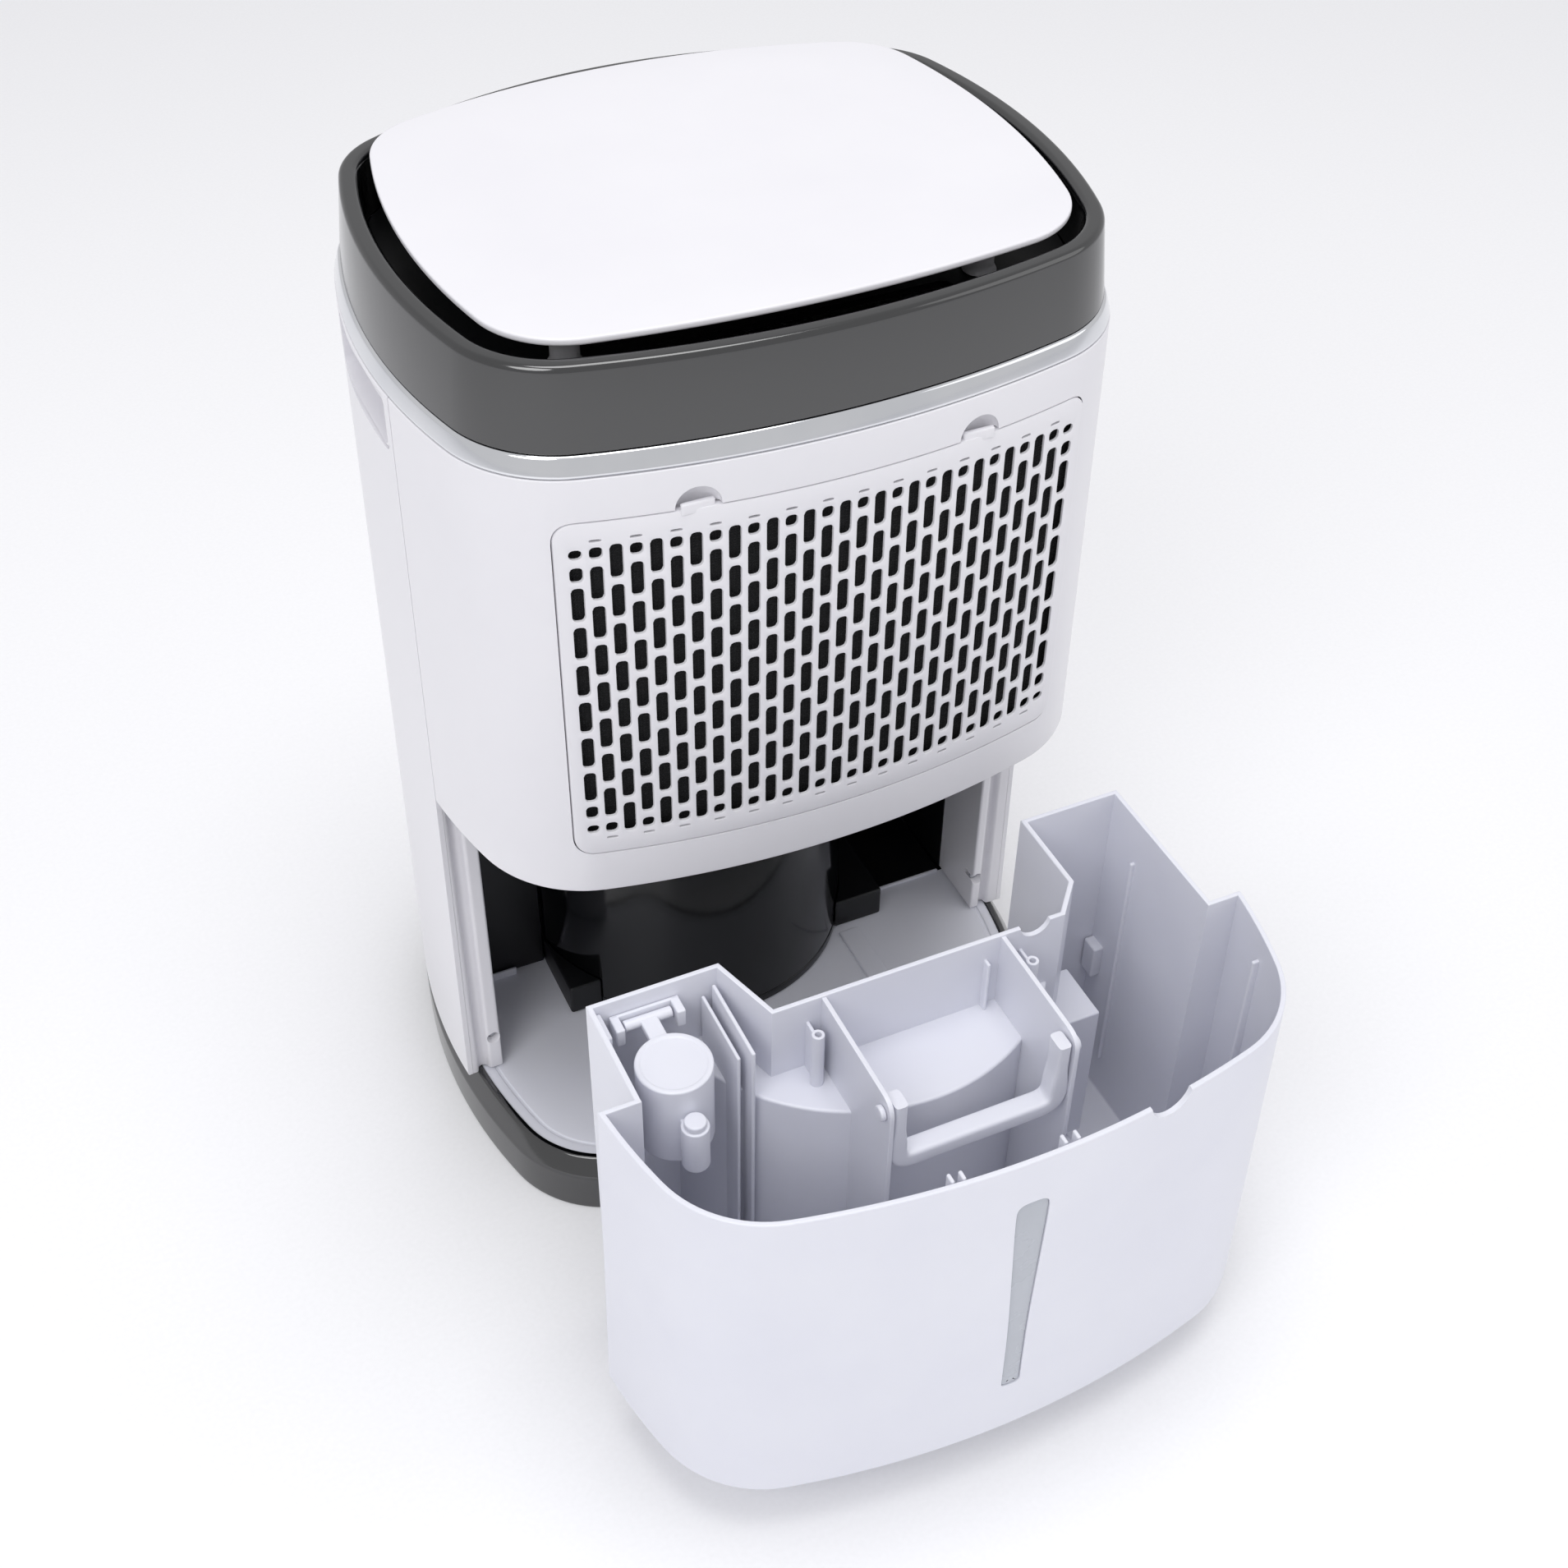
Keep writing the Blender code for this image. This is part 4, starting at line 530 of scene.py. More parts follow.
def pan_head(name, x, y, z, radius, axis, node):
    """A domed screw head with a cross recess that faces along Z or Y. Its crown is
    z = radius/2.4 * sqrt(1 - (r / radius)^2) over a rim 0.8 deep."""
    a = np.linspace(0.0002, math.pi / 2, 9)
    crown = np.column_stack([radius * np.sin(a), radius / 2.4 * np.cos(a)])
    profile = np.concatenate([crown, [(radius, -0.8), (POLE, -0.8)]])
    if axis == "Z":
        head = lathe(name, profile + (0, z), x, y, 40)
    else:
        head = lathe_y(name, profile + (0, y), x, z, 40)
    half_long, half_wide, depth = 0.55 * radius, 0.13 * radius, np.array((0.25, 1.0)) * radius
    recess = []
    for number, (a, b) in enumerate(((half_long, half_wide), (half_wide, half_long))):
        sides = ((y - b, y + b), z + depth) if axis == "Z" else (y + depth, (z - b, z + b))
        recess.append(block(f"{name}_slot_{number}", (x - a, x + a), *sides, 0.1))
    carve(head, recess)
    return finished(head, "housing", "steel", zinc, [node])


pan_head("tab_screw", tab_x, tab_y, tab_high[2] + 0.9, 3.2, "Z", "dome_screw")


# ---- Tank bay ----
# Black partitions close the bay in front. White moulded side walls stand at both ends, each with one wide
# upright groove and a screw boss low and high. Two switch blocks sit at the foot of the partitions.

# Black ABS as it leaves the mould: a fine even spark grain (0.5 mm), half-matt.
black_abs = mottled("grained_black_abs", "#0D0E10", 0.42, (18.0, 4.0), ("#0A0B0D", "#121316"), (0.34, 0.5),
                    (0.04, 0.7), (1300.0, 3.0), IOR=1.45)
matt_black = ("black", black_abs)

for name in ("bay_wall_left", "bay_wall_right", "bay_header"):
    wall = block(name + "_panel", *zip(*mm_box(name)), 0.8)
    finished(wall, "housing", *matt_black, [name])
bay_low, bay_high = mm_box("bay_side_right")
deep_y = mm_box("bay_wall_right")[1][1] + 0.3
for name, x, y, z in (
    ("deep_bay_floor", (bay_high[0] + 0.3, step_x), (deep_y, step_y - 0.8), (tray_low[2], tray_top - 1.6)),
    # A thin black sheet laid over the white side wall's inner face: painted shade in the deep end of the bay.
    ("deep_bay_painted_shade", (bay_high[0] - 0.2, bay_high[0] + 0.5), (deep_y, step_y - 1.6),
     (bay_low[2] + 0.5, bay_high[2] - 0.5)),
):
    finished(block(name, x, y, z, 0.3), "housing", *matt_black)
for side in ("left", "right"):
    switch = block(f"switch_block_{side}", *zip(*mm_box(f"tank_switch_{side}")), 1.4)
    carve(switch, [lathe(f"drum_clearance_{side}", rod(dome_r + 0.6, 20, 90), dome_x, dome_y, FINE)])
    finished(switch, "housing", *matt_black, [f"tank_switch_{side}"], bevel=0.4)
dressed(["mid_deck", "cord_gland"], black_abs)

# Satin white ABS: cool white with a soft clear sheen, a barely visible mould grain (0.3 mm) and slow
# drifts in gloss; handling leaves it very slightly duller in patches.
white_abs = mottled("satin_white_abs", "#E5E4E9", 0.3, (9.0, 5.0, 0.55), ("#E2E1E6", "#E8E7EB"), (0.26, 0.4),
                    (0.012, 0.5), (2200.0, 2.0), IOR=1.53, Coat_Weight=0.12, Coat_Roughness=0.2)
satin_white = ("white", white_abs)


def body_core(name, inside, low, high):
    """The whole body plan from 5 mm under `low` to 5 mm over `high`, `inside` mm within the covers' face."""
    return body_ring(name, [(body_out(z) - inside, z) for z in (low - 5, high + 5)])


groove_depth, boss_share = 3.8, 0.25
for side, sign in (("left", 1), ("right", -1)):
    low, high = mm_box(f"bay_side_{side}")
    near, far = sorted((abs(low[0]), abs(high[0])))
    rear, front = high[1], low[1]
    span = far - near
    line = [(near, front), (far + 20, front), (far + 20, rear), (near + 0.95 * span, rear),
            (near + 0.88 * span, rear - groove_depth), (near + 0.6 * span, rear - groove_depth),
            (near + 0.5 * span, rear), (near, rear)]
    line = fillet(line, [1.4, 1.4, 1.4, 1.6, 2.6, 2.6, 1.6, 1.4], 6)
    if sign < 0:
        line = (line * (-1, 1))[::-1]
    wall = post(f"bay_jamb_{side}", line, low[2], high[2], 0.3)
    carve(wall, [body_core(f"cover_inside_{side}", 2.62, low[2], high[2])], "INTERSECT")
    boss_x, screw_z = sign * (near + boss_share * span), mm_box(f"bay_screw_{side}").mean(0)[2]
    boss = [(POLE, rear - 9), (3.1, rear - 9), (3.1, rear - 1.8), (4.2, rear + 1), (POLE, rear + 1)]
    carve(wall, [lathe_y("boss_hole", boss, boss_x, z, 40) for z in (screw_z, high[2] - 22.0)])
    finished(wall, "housing", *satin_white, [f"bay_side_{side}"])
    pan_head(f"jamb_screw_{side}", boss_x, rear - 4.2, screw_z, 2.5, "Y", f"bay_screw_{side}")


# ---- Covers ----
# Front and rear covers of satin white ABS, 2.5 mm thick, meeting in an upright seam on each side. Each is a
# wall drawn round part of the plan; the rear one has the window for the filter panel with two finger scoops.


def front_plan(y_to):
    """The open line of the plan round the front, up to y_to on both sides, as a path for sweep."""
    def path(out):
        half = half_plan(BODY, out, y_to=y_to)
        return np.concatenate([half[::-1] * (-1, 1), half[1:]])
    return path


def rear_plan(y_from):
    """The open line of the plan round the rear, from y_from on both sides, as a path for sweep."""
    def path(out):
        half = half_plan(BODY, out, y_from=y_from)
        return np.concatenate([half, half[-2::-1] * (-1, 1)])
    return path


def rear_face(x, z):
    """Y of the body's rear arc at x, on the plan set out for that height."""
    out = body_out(z)
    radius = BODY["rear_radius"] + out
    return BODY["rear"] + out - radius + np.sqrt(radius**2 - x**2)


def round_rect(x0, x1, z0, z1, radius):
    """A rectangle with rounded corners, counterclockwise."""
    return fillet([(x0, z0), (x1, z0), (x1, z1), (x0, z1)], radius, 8)


def around(box, gap):
    """A box's (x0, x1, z0, z1), grown by gap."""
    low, high = box
    return low[0] - gap, high[0] + gap, low[2] - gap, high[2] + gap


def prism_y(name, line, y0, y1):
    """An (x, z) outline carried along Y."""
    rings = [np.column_stack([line[:, 0], np.full(len(line), y), line[:, 1]]) for y in (y0, y1)]
    return solid(name, np.stack(rings))


(front_low, front_high), grille = mm_box("front_cover"), mm_box("intake_grille")
cover_low, cover_high = mm_box("rear_cover")
skin, cover_top = 2.5, cover_high[2]
notch_x, notch_r, notch_z = 62.0, 9.5, grille[1][2] + 0.6


def cover_wall(name, path, low, foot_radius):
    """A cover's wall from `low` up to the covers' top, its four edges rounded."""
    foot, head = body_out(low), body_out(cover_top)
    line = [(foot, low), (head, cover_top), (head - skin, cover_top), (foot - skin, low)]
    rings = sweep(path, fillet(line, [foot_radius, 0.5, 0.3, 0.3], 4))
    return solid(name, rings, wrap_rows=True, wrap_columns=False)


rear_cover = cover_wall("rear_shell", rear_plan(cover_low[1]), cover_low[2], 1.2)
tools = [prism_y("panel_window", round_rect(*around(grille, 0.6), 10.35), 70, 150)]
for sign in (1, -1):
    tools.append(lathe_y("scoop_hole", rod(notch_r, 80, 150), sign * notch_x, notch_z, 64))
carve(rear_cover, tools)
finished(rear_cover, "housing", *satin_white, ["rear_cover"], bevel=0.5, crease=35)

for side, sign in (("left", 1), ("right", -1)):
    # The scoop is a shallow dish. Above the panel's edge (x, z) is on a circle of radius r cos v, at a depth
    # of 0.9 + 4.6 sin v. Below it the dish drops by 3 sin u cos v behind the panel, at a depth of
    # 3.6 + 1.9 sin v.
    u = np.linspace(0, 2 * math.pi, 65)[:-1, None]
    v = np.linspace(0, math.pi / 2 - 0.02, 13)[None]
    r = notch_r + 0.2
    under = np.sin(u) < -1e-6
    x = sign * notch_x + r * np.cos(u) * np.cos(v)
    z = notch_z + np.where(under, 3.0, r) * np.sin(u) * np.cos(v)
    y = rear_face(x, z) - np.where(under, 3.6 + 1.9 * np.sin(v), 0.9 + 4.6 * np.sin(v))
    bowl = np.stack([x, y, z], -1)
    back_x = sign * notch_x + (x - sign * notch_x) * 1.1
    back = np.stack([back_x, y - 1.0, notch_z + (z - notch_z) * 1.05], -1)
    shell = np.concatenate([bowl[:, ::-1], back], axis=1).swapaxes(0, 1)
    finished(solid(f"finger_scoop_{side}", shell), "housing", *satin_white)

front_cover = cover_wall("front_shell", front_plan(front_high[1]), front_low[2], 0.8)
tools = []
grips = {side: mm_box(f"side_grip_{side}") for side in ("left", "right")}
for low, high in grips.values():
    reach = (130, 175) if low[0] > 0 else (-175, -130)
    tools.append(block("grip_hole", reach, *zip(low[1:] - 0.1, high[1:] + 0.1), 4.0))
tools.append(lathe_x("gland_hole", rod(7.3, -175, -140), -12.0, 62.0, 48))
carve(front_cover, tools)
finished(front_cover, "housing", *satin_white, ["front_cover"], bevel=0.5, crease=35)
grip_wall = 2.0
for side, (low, high) in grips.items():
    cup = block(f"hand_grip_{side}", (low[0], high[0] + 0.01), (low[1], high[1]), (low[2], high[2]), 3.8)
    reach = (low[0] + grip_wall, high[0] + 8.0) if low[0] > 0 else (low[0] - 8.0, high[0] - grip_wall)
    hollow = block("grip_hollow", reach, *zip(low[1:] + grip_wall, high[1:] - grip_wall), 3.0)
    carve(cup, [hollow])
    carve(cup, [body_core("grip_skin", 0.25, low[2], high[2])], "INTERSECT")
    finished(cup, "housing", *satin_white, [f"side_grip_{side}"], bevel=0.4)


# ---- Top ----
# A chrome-plated strip, then the piano-black band whose rim surrounds the ring-shaped air outlet, and over
# the outlet a flat white lid standing on four posts.

# Chrome plate: bright and neutral, with slow waviness from the moulding beneath and faint wiping haze.
chrome = mottled("bright_chrome_plate", "#E4E5E8", 0.07, (30.0, 5.0), ("#DEE0E4", "#EAEBED"), (0.04, 0.13),
                 (0.015, 1.0), (70.0, 0.0), Metallic=1.0)

z0, z1 = np.array(mm_box("chrome_trim"))[:, 2]
trim_profile = fillet([(7.8, z0), (5.0, z1), (-3.0, z1), (-3.0, z0)], [1.6, 1.6, 0.2, 0.2], 6)
trim = body_ring("chrome_strip", trim_profile, wrap_rows=True)
finished(trim, "housing", "chrome", chrome, ["chrome_trim"])

band_foot, band_top = np.array(mm_box("top_band"))[:, 2]
band_shoulder, under_rim, trough = band_top - 1.6, band_top - 4.1, band_foot + 9.0
band_profile = fillet(
    [(4.2, band_foot), (0.6, band_shoulder), (-0.8, band_top), (-6.4, band_top), (-8.3, band_top - 2.5),
     (-8.3, trough), (-5.8, trough), (-5.8, under_rim), (-1.3, under_rim), (1.7, band_foot)],
    [0.5, 1.2, 1.2, 1.4, 1.4, 0.2, 0.2, 0.2, 0.2, 0.2], 5)
band = body_ring("gloss_band", band_profile, wrap_rows=True)


def band_face(x, z):
    """Y of the band's front wall, which stands out by 4.2 at its foot and by 0.6 at its shoulder."""
    out = 4.2 - 3.6 * (z - band_foot) / (band_shoulder - band_foot)
    radius = BODY["front_radius"] + out
    return radius - BODY["front"] - out - np.sqrt(radius**2 - x**2)


def curved_pad(name, x0, x1, low, high, corner, front, back, edge=0.4):
    """A plate on the band's front: rings of a rounded rectangle at shares s of its size, each at band_face
    plus a depth; the depth runs from `front` over a rounded edge to `back`."""
    centre = np.array([(x0 + x1) / 2, (low + high) / 2])
    half = np.array([(x1 - x0) / 2, (high - low) / 2])
    line = round_rect(-half[0], half[0], -half[1], half[1], corner * 1.1)
    shares = (0.001, 0.35, 0.7)
    steps = [(s, 0.0, front) for s in shares]
    steps += [(1, 1.5 * edge, front), (1, edge * 0.3, front + 0.1 * edge), (1, 0.0, front + edge)]
    steps += [(s, 0.0, back) for s in (1, *shares[::-1])]
    dense = []
    for a, b in zip(line, np.roll(line, -1, 0)):
        count = max(1, int(np.linalg.norm(b - a) / 4))
        dense.append(a + (b - a) * np.linspace(0, 1, count, endpoint=False)[:, None])
    line = np.concatenate(dense)
    rings = []
    for share, step_in, depth in steps:
        x, z = ((inset(line, step_in) if step_in else line) * share + centre).T
        rings.append(np.column_stack([x, band_face(x, z) + depth, z]))
    return solid(name, np.stack(rings))


panel_box, lens_box = mm_box("control_panel"), mm_box("display_lens")
buttons = {i: mm_box(f"button_{i}") for i in (1, 2, 3, 4)}
carve(band, [curved_pad("control_opening", *around(panel_box, 0.3), 3.0, -6.0, 5.0)])
finished(band, "housing", "gloss_black", lacquer, ["top_band"], bevel=0.25, crease=40)
strip = curved_pad("control_strip", *around(panel_box, 0.0), 2.7, 0.0, 2.5)
holes = [curved_pad("lens_opening", *around(lens_box, 0.25), 1.7, -4.0, 8.0)]
for low, high in buttons.values():
    middle = (low + high) / 2
    holes.append(lathe_y("button_hole", rod(4.9, low[1] - 5, low[1] + 12), middle[0], middle[2], 48))
carve(strip, holes)
finished(strip, "housing", "gloss_black", gloss_black, ["control_panel"], bevel=0.2, crease=40)

# Smoked acrylic: near-black and glassy, with the dim grid of an unlit display just under its face.
smoked, tree, shader = shader_of("smoked_acrylic", "#08090C", 0.05, IOR=1.49, Coat_Weight=0.5,
                                 Coat_Roughness=0.02)
upright = add_node(tree, "ShaderNodeMapping", {"Vector": object_place(tree)}, Rotation=(math.pi / 2, 0, 0))
dots = add_node(tree, "ShaderNodeTexBrick", {"Vector": upright.outputs["Vector"]}, Scale=250.0,
                Color1=linear("#0A0B0F"), Color2=linear("#0C0D12"), Mortar=linear("#050608"))
tree.links.new(dots.outputs["Color"], shader.inputs["Base Color"])
rough_between(tree, shader, noise_of(tree, 60.0, 3.0), 0.03, 0.09)
lens = curved_pad("display_window", *around(lens_box, 0.0), 1.5, 0.0, 2.5, 0.3)
finished(lens, "housing", "display", smoked, ["display_lens"])
for number, (low, high) in buttons.items():
    middle = (low + high) / 2
    radius = (high - low)[0] / 2
    cap = [(POLE, low[1] + 0.35), (radius * 0.55, low[1] + 0.3), (radius * 0.86, low[1]),
           (radius, low[1] + 0.3), (radius, high[1]), (POLE, high[1])]
    key = lathe_y(f"key_{number}", fillet(cap, [0, 0.8, 0.3, 0.3, 0.2, 0], 5), middle[0], middle[2], 64)
    finished(key, f"button_{number}_body", *matt_black, [f"button_{number}"])

LID = dict(half_width=135.4, rear=105.3, front=116.1, rear_radius=625.0, front_radius=332.0,
           side_radius=309.0, rear_corner=40.0, front_corner=36.0)
lid_foot, lid_top = np.array(mm_box("top_plate"))[:, 2]
under_lid = lid_top - 3.6
lid_profile = fillet(
    [(-20.0, under_lid), (-1.2, under_lid), (0.0, lid_top - 2.6), (0.0, lid_top), (-20.0, lid_top)],
    [0, 0.8, 0.8, 1.2, 0], 6)
lid = solid("top_lid", sweep(lambda out: whole_plan(LID, out), lid_profile))
finished(lid, "housing", *satin_white, ["top_plate"])
foot = [(POLE, lid_foot), (7.5, lid_foot), (6.0, lid_foot + 2.5), (6.0, lid_top - 5.0), (7.5, lid_top - 3.3),
        (POLE, lid_top - 3.3)]
for number, (x, y) in enumerate(((92.0, 62.0), (-92.0, 62.0), (92.0, -62.0), (-92.0, -62.0)), 1):
    lid_post = lathe(f"lid_post_{number}", fillet(foot, [0, 0.4, 1, 1, 0.2, 0], 4), x, y, 48)
    finished(lid_post, "housing", *satin_white)
dressed(["outlet_deck"], black_abs)
# ---- Filter panel ----
# A satin white ABS panel bent to the cover, with staggered columns of rounded slots; two short tabs on its
# top edge stand in the finger scoops, and a black mesh filter rides behind it.

panel_low, panel_high = grille
centre_z = (panel_low[2] + panel_high[2]) / 2
half_x, half_z = (panel_high[0] - panel_low[0]) / 2, (panel_high[2] - panel_low[2]) / 2
columns, pitch_x, pitch_z, thick = 29, 7.9, 19.5, 1.5
field_x, field_z = columns * pitch_x / 2, 4 * pitch_z
slit_z = field_z + 1.0


def on_panel(x, z, depth):
    """Flat panel coordinates to the bent panel: Y is the cover's rear face less the depth."""
    return np.stack([x, rear_face(x, z + centre_z) - depth, z + centre_z], -1)


def cell(x, z, half_cell, half_slot, segments):
    """Cells of the panel, each with one rounded slot. b runs round a square; the cell's edge is b * half_cell,
    and the slot's edge is core + r * unit(b * half_slot - core), with
    core = clip(b * half_slot, +-(half_slot - r))."""
    a = np.linspace(-1, 1, 5)[:-1]
    s = np.linspace(-1, 1, segments + 1)[:-1]
    b = np.concatenate([np.column_stack([a, 0 * a - 1]), np.column_stack([0 * s + 1, s]),
                        np.column_stack([-a, 0 * a + 1]), np.column_stack([0 * s - 1, -s])])
    half_slot = np.array(half_slot)
    r = min(half_slot[0] * 0.8, half_slot[1] * 0.98)
    core = np.clip(b * half_slot, -(half_slot - r), half_slot - r)
    unit = b * half_slot - core
    unit /= np.maximum(np.linalg.norm(unit, axis=1), 1e-9)[:, None]
    soft = min(0.3, r * 0.5)
    edge = core + unit * r
    rings = [(b * half_cell, 0.0), (core + unit * (r + soft), 0.0),
             (core + unit * (r + 0.1 * soft), 0.35 * soft), (edge, soft), (edge, thick), (b * half_cell, thick)]
    flat = np.stack([ring for ring, _ in rings])
    depth = np.array([d for _, d in rings])[None, :, None]
    px = x[:, None, None] + flat[None, ..., 0]
    pz = z[:, None, None] + flat[None, ..., 1]
    points = on_panel(px, pz, depth + 0 * px)
    starts = np.arange(len(x)) * len(rings) * len(b)
    faces = np.array(quads(len(rings), len(b)))[None] + starts[:, None, None]
    return points.reshape(-1, 3), faces.reshape(-1, 4)


xs = (np.arange(columns) - (columns - 1) / 2) * pitch_x
even, odd, ends = xs[2:-1:2], xs[1::2], xs[[0, -1]]
half_slot_z, half_slot_x = 8.3, 2.68
levels = (np.arange(8) - 3.5) * pitch_z
full, quarter = (pitch_x / 2, pitch_z / 2), (pitch_x / 2, pitch_z / 4)
points, faces, start = [], [], 0
# Each group of cells: their x and z, the half sizes of a cell and of its slot, and the steps up its side.
for at_x, at_z, half_cell, half_slot, segments in (
    (even, levels, full, (half_slot_x, half_slot_z), 8),
    (ends, levels[1:-1], full, (half_slot_x, half_slot_z), 8),
    (odd, (np.arange(7) - 3) * pitch_z, full, (half_slot_x, half_slot_z), 8),
    (odd, (-3.75 * pitch_z, 3.75 * pitch_z), quarter, (half_slot_x, 2.85), 4),
    (ends, (-3.75 * pitch_z, 3.75 * pitch_z), quarter, (half_slot_x, 2.3), 4),
    (ends, (-3.25 * pitch_z, 3.25 * pitch_z), quarter, (half_slot_x, 3.6), 4),
    (odd, (-slit_z, slit_z), (pitch_x / 2, 1.0), (half_slot_x * 0.95, 0.58), 1),
):
    x, z = (v.ravel() for v in np.meshgrid(at_x, at_z))
    p, f = cell(x, z, half_cell, half_slot, segments)
    points.append(p)
    faces.append(f + start)
    start += len(p)

# The plain strips beside the thin slits, above the even columns, front and back.
plain_x, plain_z = (v.ravel() for v in np.meshgrid(xs[::2], [-slit_z, slit_z]))
strip_x = plain_x[:, None, None] + (np.linspace(-1, 1, 5) * pitch_x / 2)[None, None, :]
strip_z = plain_z[:, None, None] + np.array([-1.0, 1.0])[None, :, None]
strip_faces = np.array(quads(2, 5, False, False))[None] + (np.arange(len(plain_x)) * 10)[:, None, None]
for depth in (0.0, thick):
    p = on_panel(strip_x + 0 * strip_z, strip_z + 0 * strip_x, depth + 0 * (strip_x + strip_z)).reshape(-1, 3)
    points.append(p)
    faces.append(strip_faces.reshape(-1, 4) + start)
    start += len(p)

# The border: the slot field's edge out to the panel's rounded outline, over its edge and back underneath.
top_z = field_z + 2.0
edge_x = np.linspace(-field_x, field_x, columns * 4 + 1)
edge_z = np.concatenate([[-top_z], np.linspace(-field_z, field_z, 65), [top_z]])
inner = np.concatenate([
    np.column_stack([edge_x[:-1], 0 * edge_x[:-1] - top_z]),
    np.column_stack([0 * edge_z[:-1] + field_x, edge_z[:-1]]),
    np.column_stack([edge_x[:0:-1], 0 * edge_x[:-1] + top_z]),
    np.column_stack([0 * edge_z[:-1] - field_x, edge_z[:0:-1]])])
outer_half = np.array([half_x, half_z])
spread = inner / (field_x, top_z) * outer_half
corner = 8.4


def outline_at(step):
    """The border's outline `step` inside the panel's edge: points clipped to a core and pushed out by the
    corner radius."""
    core = np.clip(spread, -(outer_half - corner), outer_half - corner)
    unit = spread - core
    unit /= np.maximum(np.linalg.norm(unit, axis=1), 1e-9)[:, None]
    return core + unit * (corner - step)


rim_depth = 3.0
border = [(inner, 0.0), (outline_at(0.6), 0.0), (outline_at(0.15), 0.15), (outline_at(0.0), 0.6),
          (outline_at(0.0), rim_depth), (outline_at(1.8), rim_depth), (outline_at(1.8), thick),
          (inner, thick)]
points += [on_panel(ring[:, 0], ring[:, 1], depth + 0 * ring[:, 0]) for ring, depth in border]
faces.append(np.array(quads(len(border), len(inner))) + start)
panel = mesh_of("filter_panel_face", np.concatenate(points), np.concatenate(faces).tolist())
finished(panel, "filter_panel", *satin_white, ["intake_grille"], crease=38)
for side, x in (("left", notch_x), ("right", -notch_x)):
    y = float(rear_face(np.array(x), panel_high[2]))
    tab = block(f"pull_tab_{side}", (x - 7.2, x + 7.2), (y - 2.6, y - 0.15),
                (panel_high[2] - 2.5, panel_high[2] + 2.9), 0.9)
    finished(tab, "filter_panel", *satin_white)


def bands_of(tree, axis, scale, distortion):
    """Dark and bright bands across one axis of the object's own coordinates."""
    wave = add_node(tree, "ShaderNodeTexWave", {"Vector": object_place(tree)}, wave_type="BANDS",
                    bands_direction=axis, Scale=scale, Distortion=distortion)
    return wave.outputs["Fac"]


# Filter mesh: matt black woven nylon, threads about 1.3 mm apart so that the weave still reads between slots.
mesh_cloth, tree, shader = shader_of("black_nylon_mesh", "#0C0D0E", 0.85, IOR=1.5)
weave = add_node(tree, "ShaderNodeMath", operation="MAXIMUM")
for number, axis in enumerate(("X", "Z")):
    tree.links.new(bands_of(tree, axis, 240.0, 0.4), weave.inputs[number])
colour_between(tree, shader, weave.outputs[0], "#060607", "#18191B")
rough_between(tree, shader, weave.outputs[0], 0.75, 0.95)
bump_from(tree, shader, weave.outputs[0], 0.4)
dressed(["air_filter"], mesh_cloth)


# ---- Water tank ----
# A thin-walled polypropylene tank, moulded in one: a shell that continues the body's rear, two legs that
# reach forward beside the compressor, and a shelf, dividers, posts and ribs inside.

slide = next(joint for joint in frame["joints"] if joint["name"] == "tank_slide")
pulled = -1000 * slide["range_m"][0]
tank_low, tank_high = mm_box("tank_bucket")
t_low, t_top = tank_low[2], tank_high[2]
side_x, ear_y, recess_y = 139.0, 31.5, 10.0


def tank_plan(out, inward=0.0):
    """The tank in plan, counterclockwise: the body's rear outline set out by `out`, then the two legs and the
    inner wall, with their upright corners; moved inwards by `inward`."""
    half = half_plan(BODY, out, y_from=ear_y)
    legs = [(-side_x, ear_y), (-side_x, -49.0), (-87.0, -49.0), (-87.0, -5.0), (-74.0, recess_y),
            (66.7, recess_y), (77.5, -24.0), (side_x, -24.0), (side_x, ear_y)]
    return inset(np.concatenate([half, half[-2::-1] * (-1, 1), legs]), inward) + (0.0, pulled)


def tank_out(z):
    """The tank's set-out at a height: linear from 10 at its foot to 6.5 at its rim."""
    return 10.0 - 3.5 * (z - t_low) / (t_top - t_low)


def tank_shell(name, profile):
    """Rings of the tank's plan from (inset, z) pairs."""
    plans = [(tank_plan(tank_out(z), distance), z) for distance, z in profile]
    return solid(name, np.stack([np.column_stack([plan, np.full(len(plan), z)]) for plan, z in plans]))


wall, floor_z = 2.4, t_low + 2.8
bucket = tank_shell("tank_shell", fillet(
    [(4.0, t_low), (0.0, t_low), (0.0, t_top), (wall, t_top), (wall, floor_z), (5.5, floor_z)],
    [0, 3.6, 0.8, 0.5, 3.0, 0], 5))
# The compressor's room: the drum, the switch blocks and the screw tab, each with room to slide in and a wall.
shelf_z, clear_r, clearance = 186.4, 92.0, 3.0
jackets = [lathe("dome_jacket", fillet(rod(clear_r + wall, 0, shelf_z), [0, 0, 1.6, 0], 5),
                 dome_x, dome_y + pulled, FINE)]
hollows = [lathe("dome_space", fillet(rod(clear_r, 0, shelf_z - wall), [0, 0, 3, 0], 5),
                 dome_x, dome_y + pulled, FINE)]
tab_low, tab_high = mm_box("dome_tab")
for name, x, y, top in (
    ("left", (70.0, 95.0), (-30.0, 12.0), mm_box("tank_switch_left")[1][2]),
    ("right", (-92.0, -58.0), (-52.0, 12.0), mm_box("tank_switch_right")[1][2]),
    ("tab", (tab_low[0], tab_high[0]), (tab_low[1], tab_high[1]), tab_high[2] + 2.6),
):
    for grow, group in ((clearance + wall, jackets), (clearance, hollows)):
        group.append(block(f"{name}_room", (x[0] - grow, x[1] + grow),
                           (y[0] - 30 + pulled, y[1] + grow + pulled), (0, top + grow), 1.5))
first = jackets[0]
carve(first, jackets[1:], "UNION")
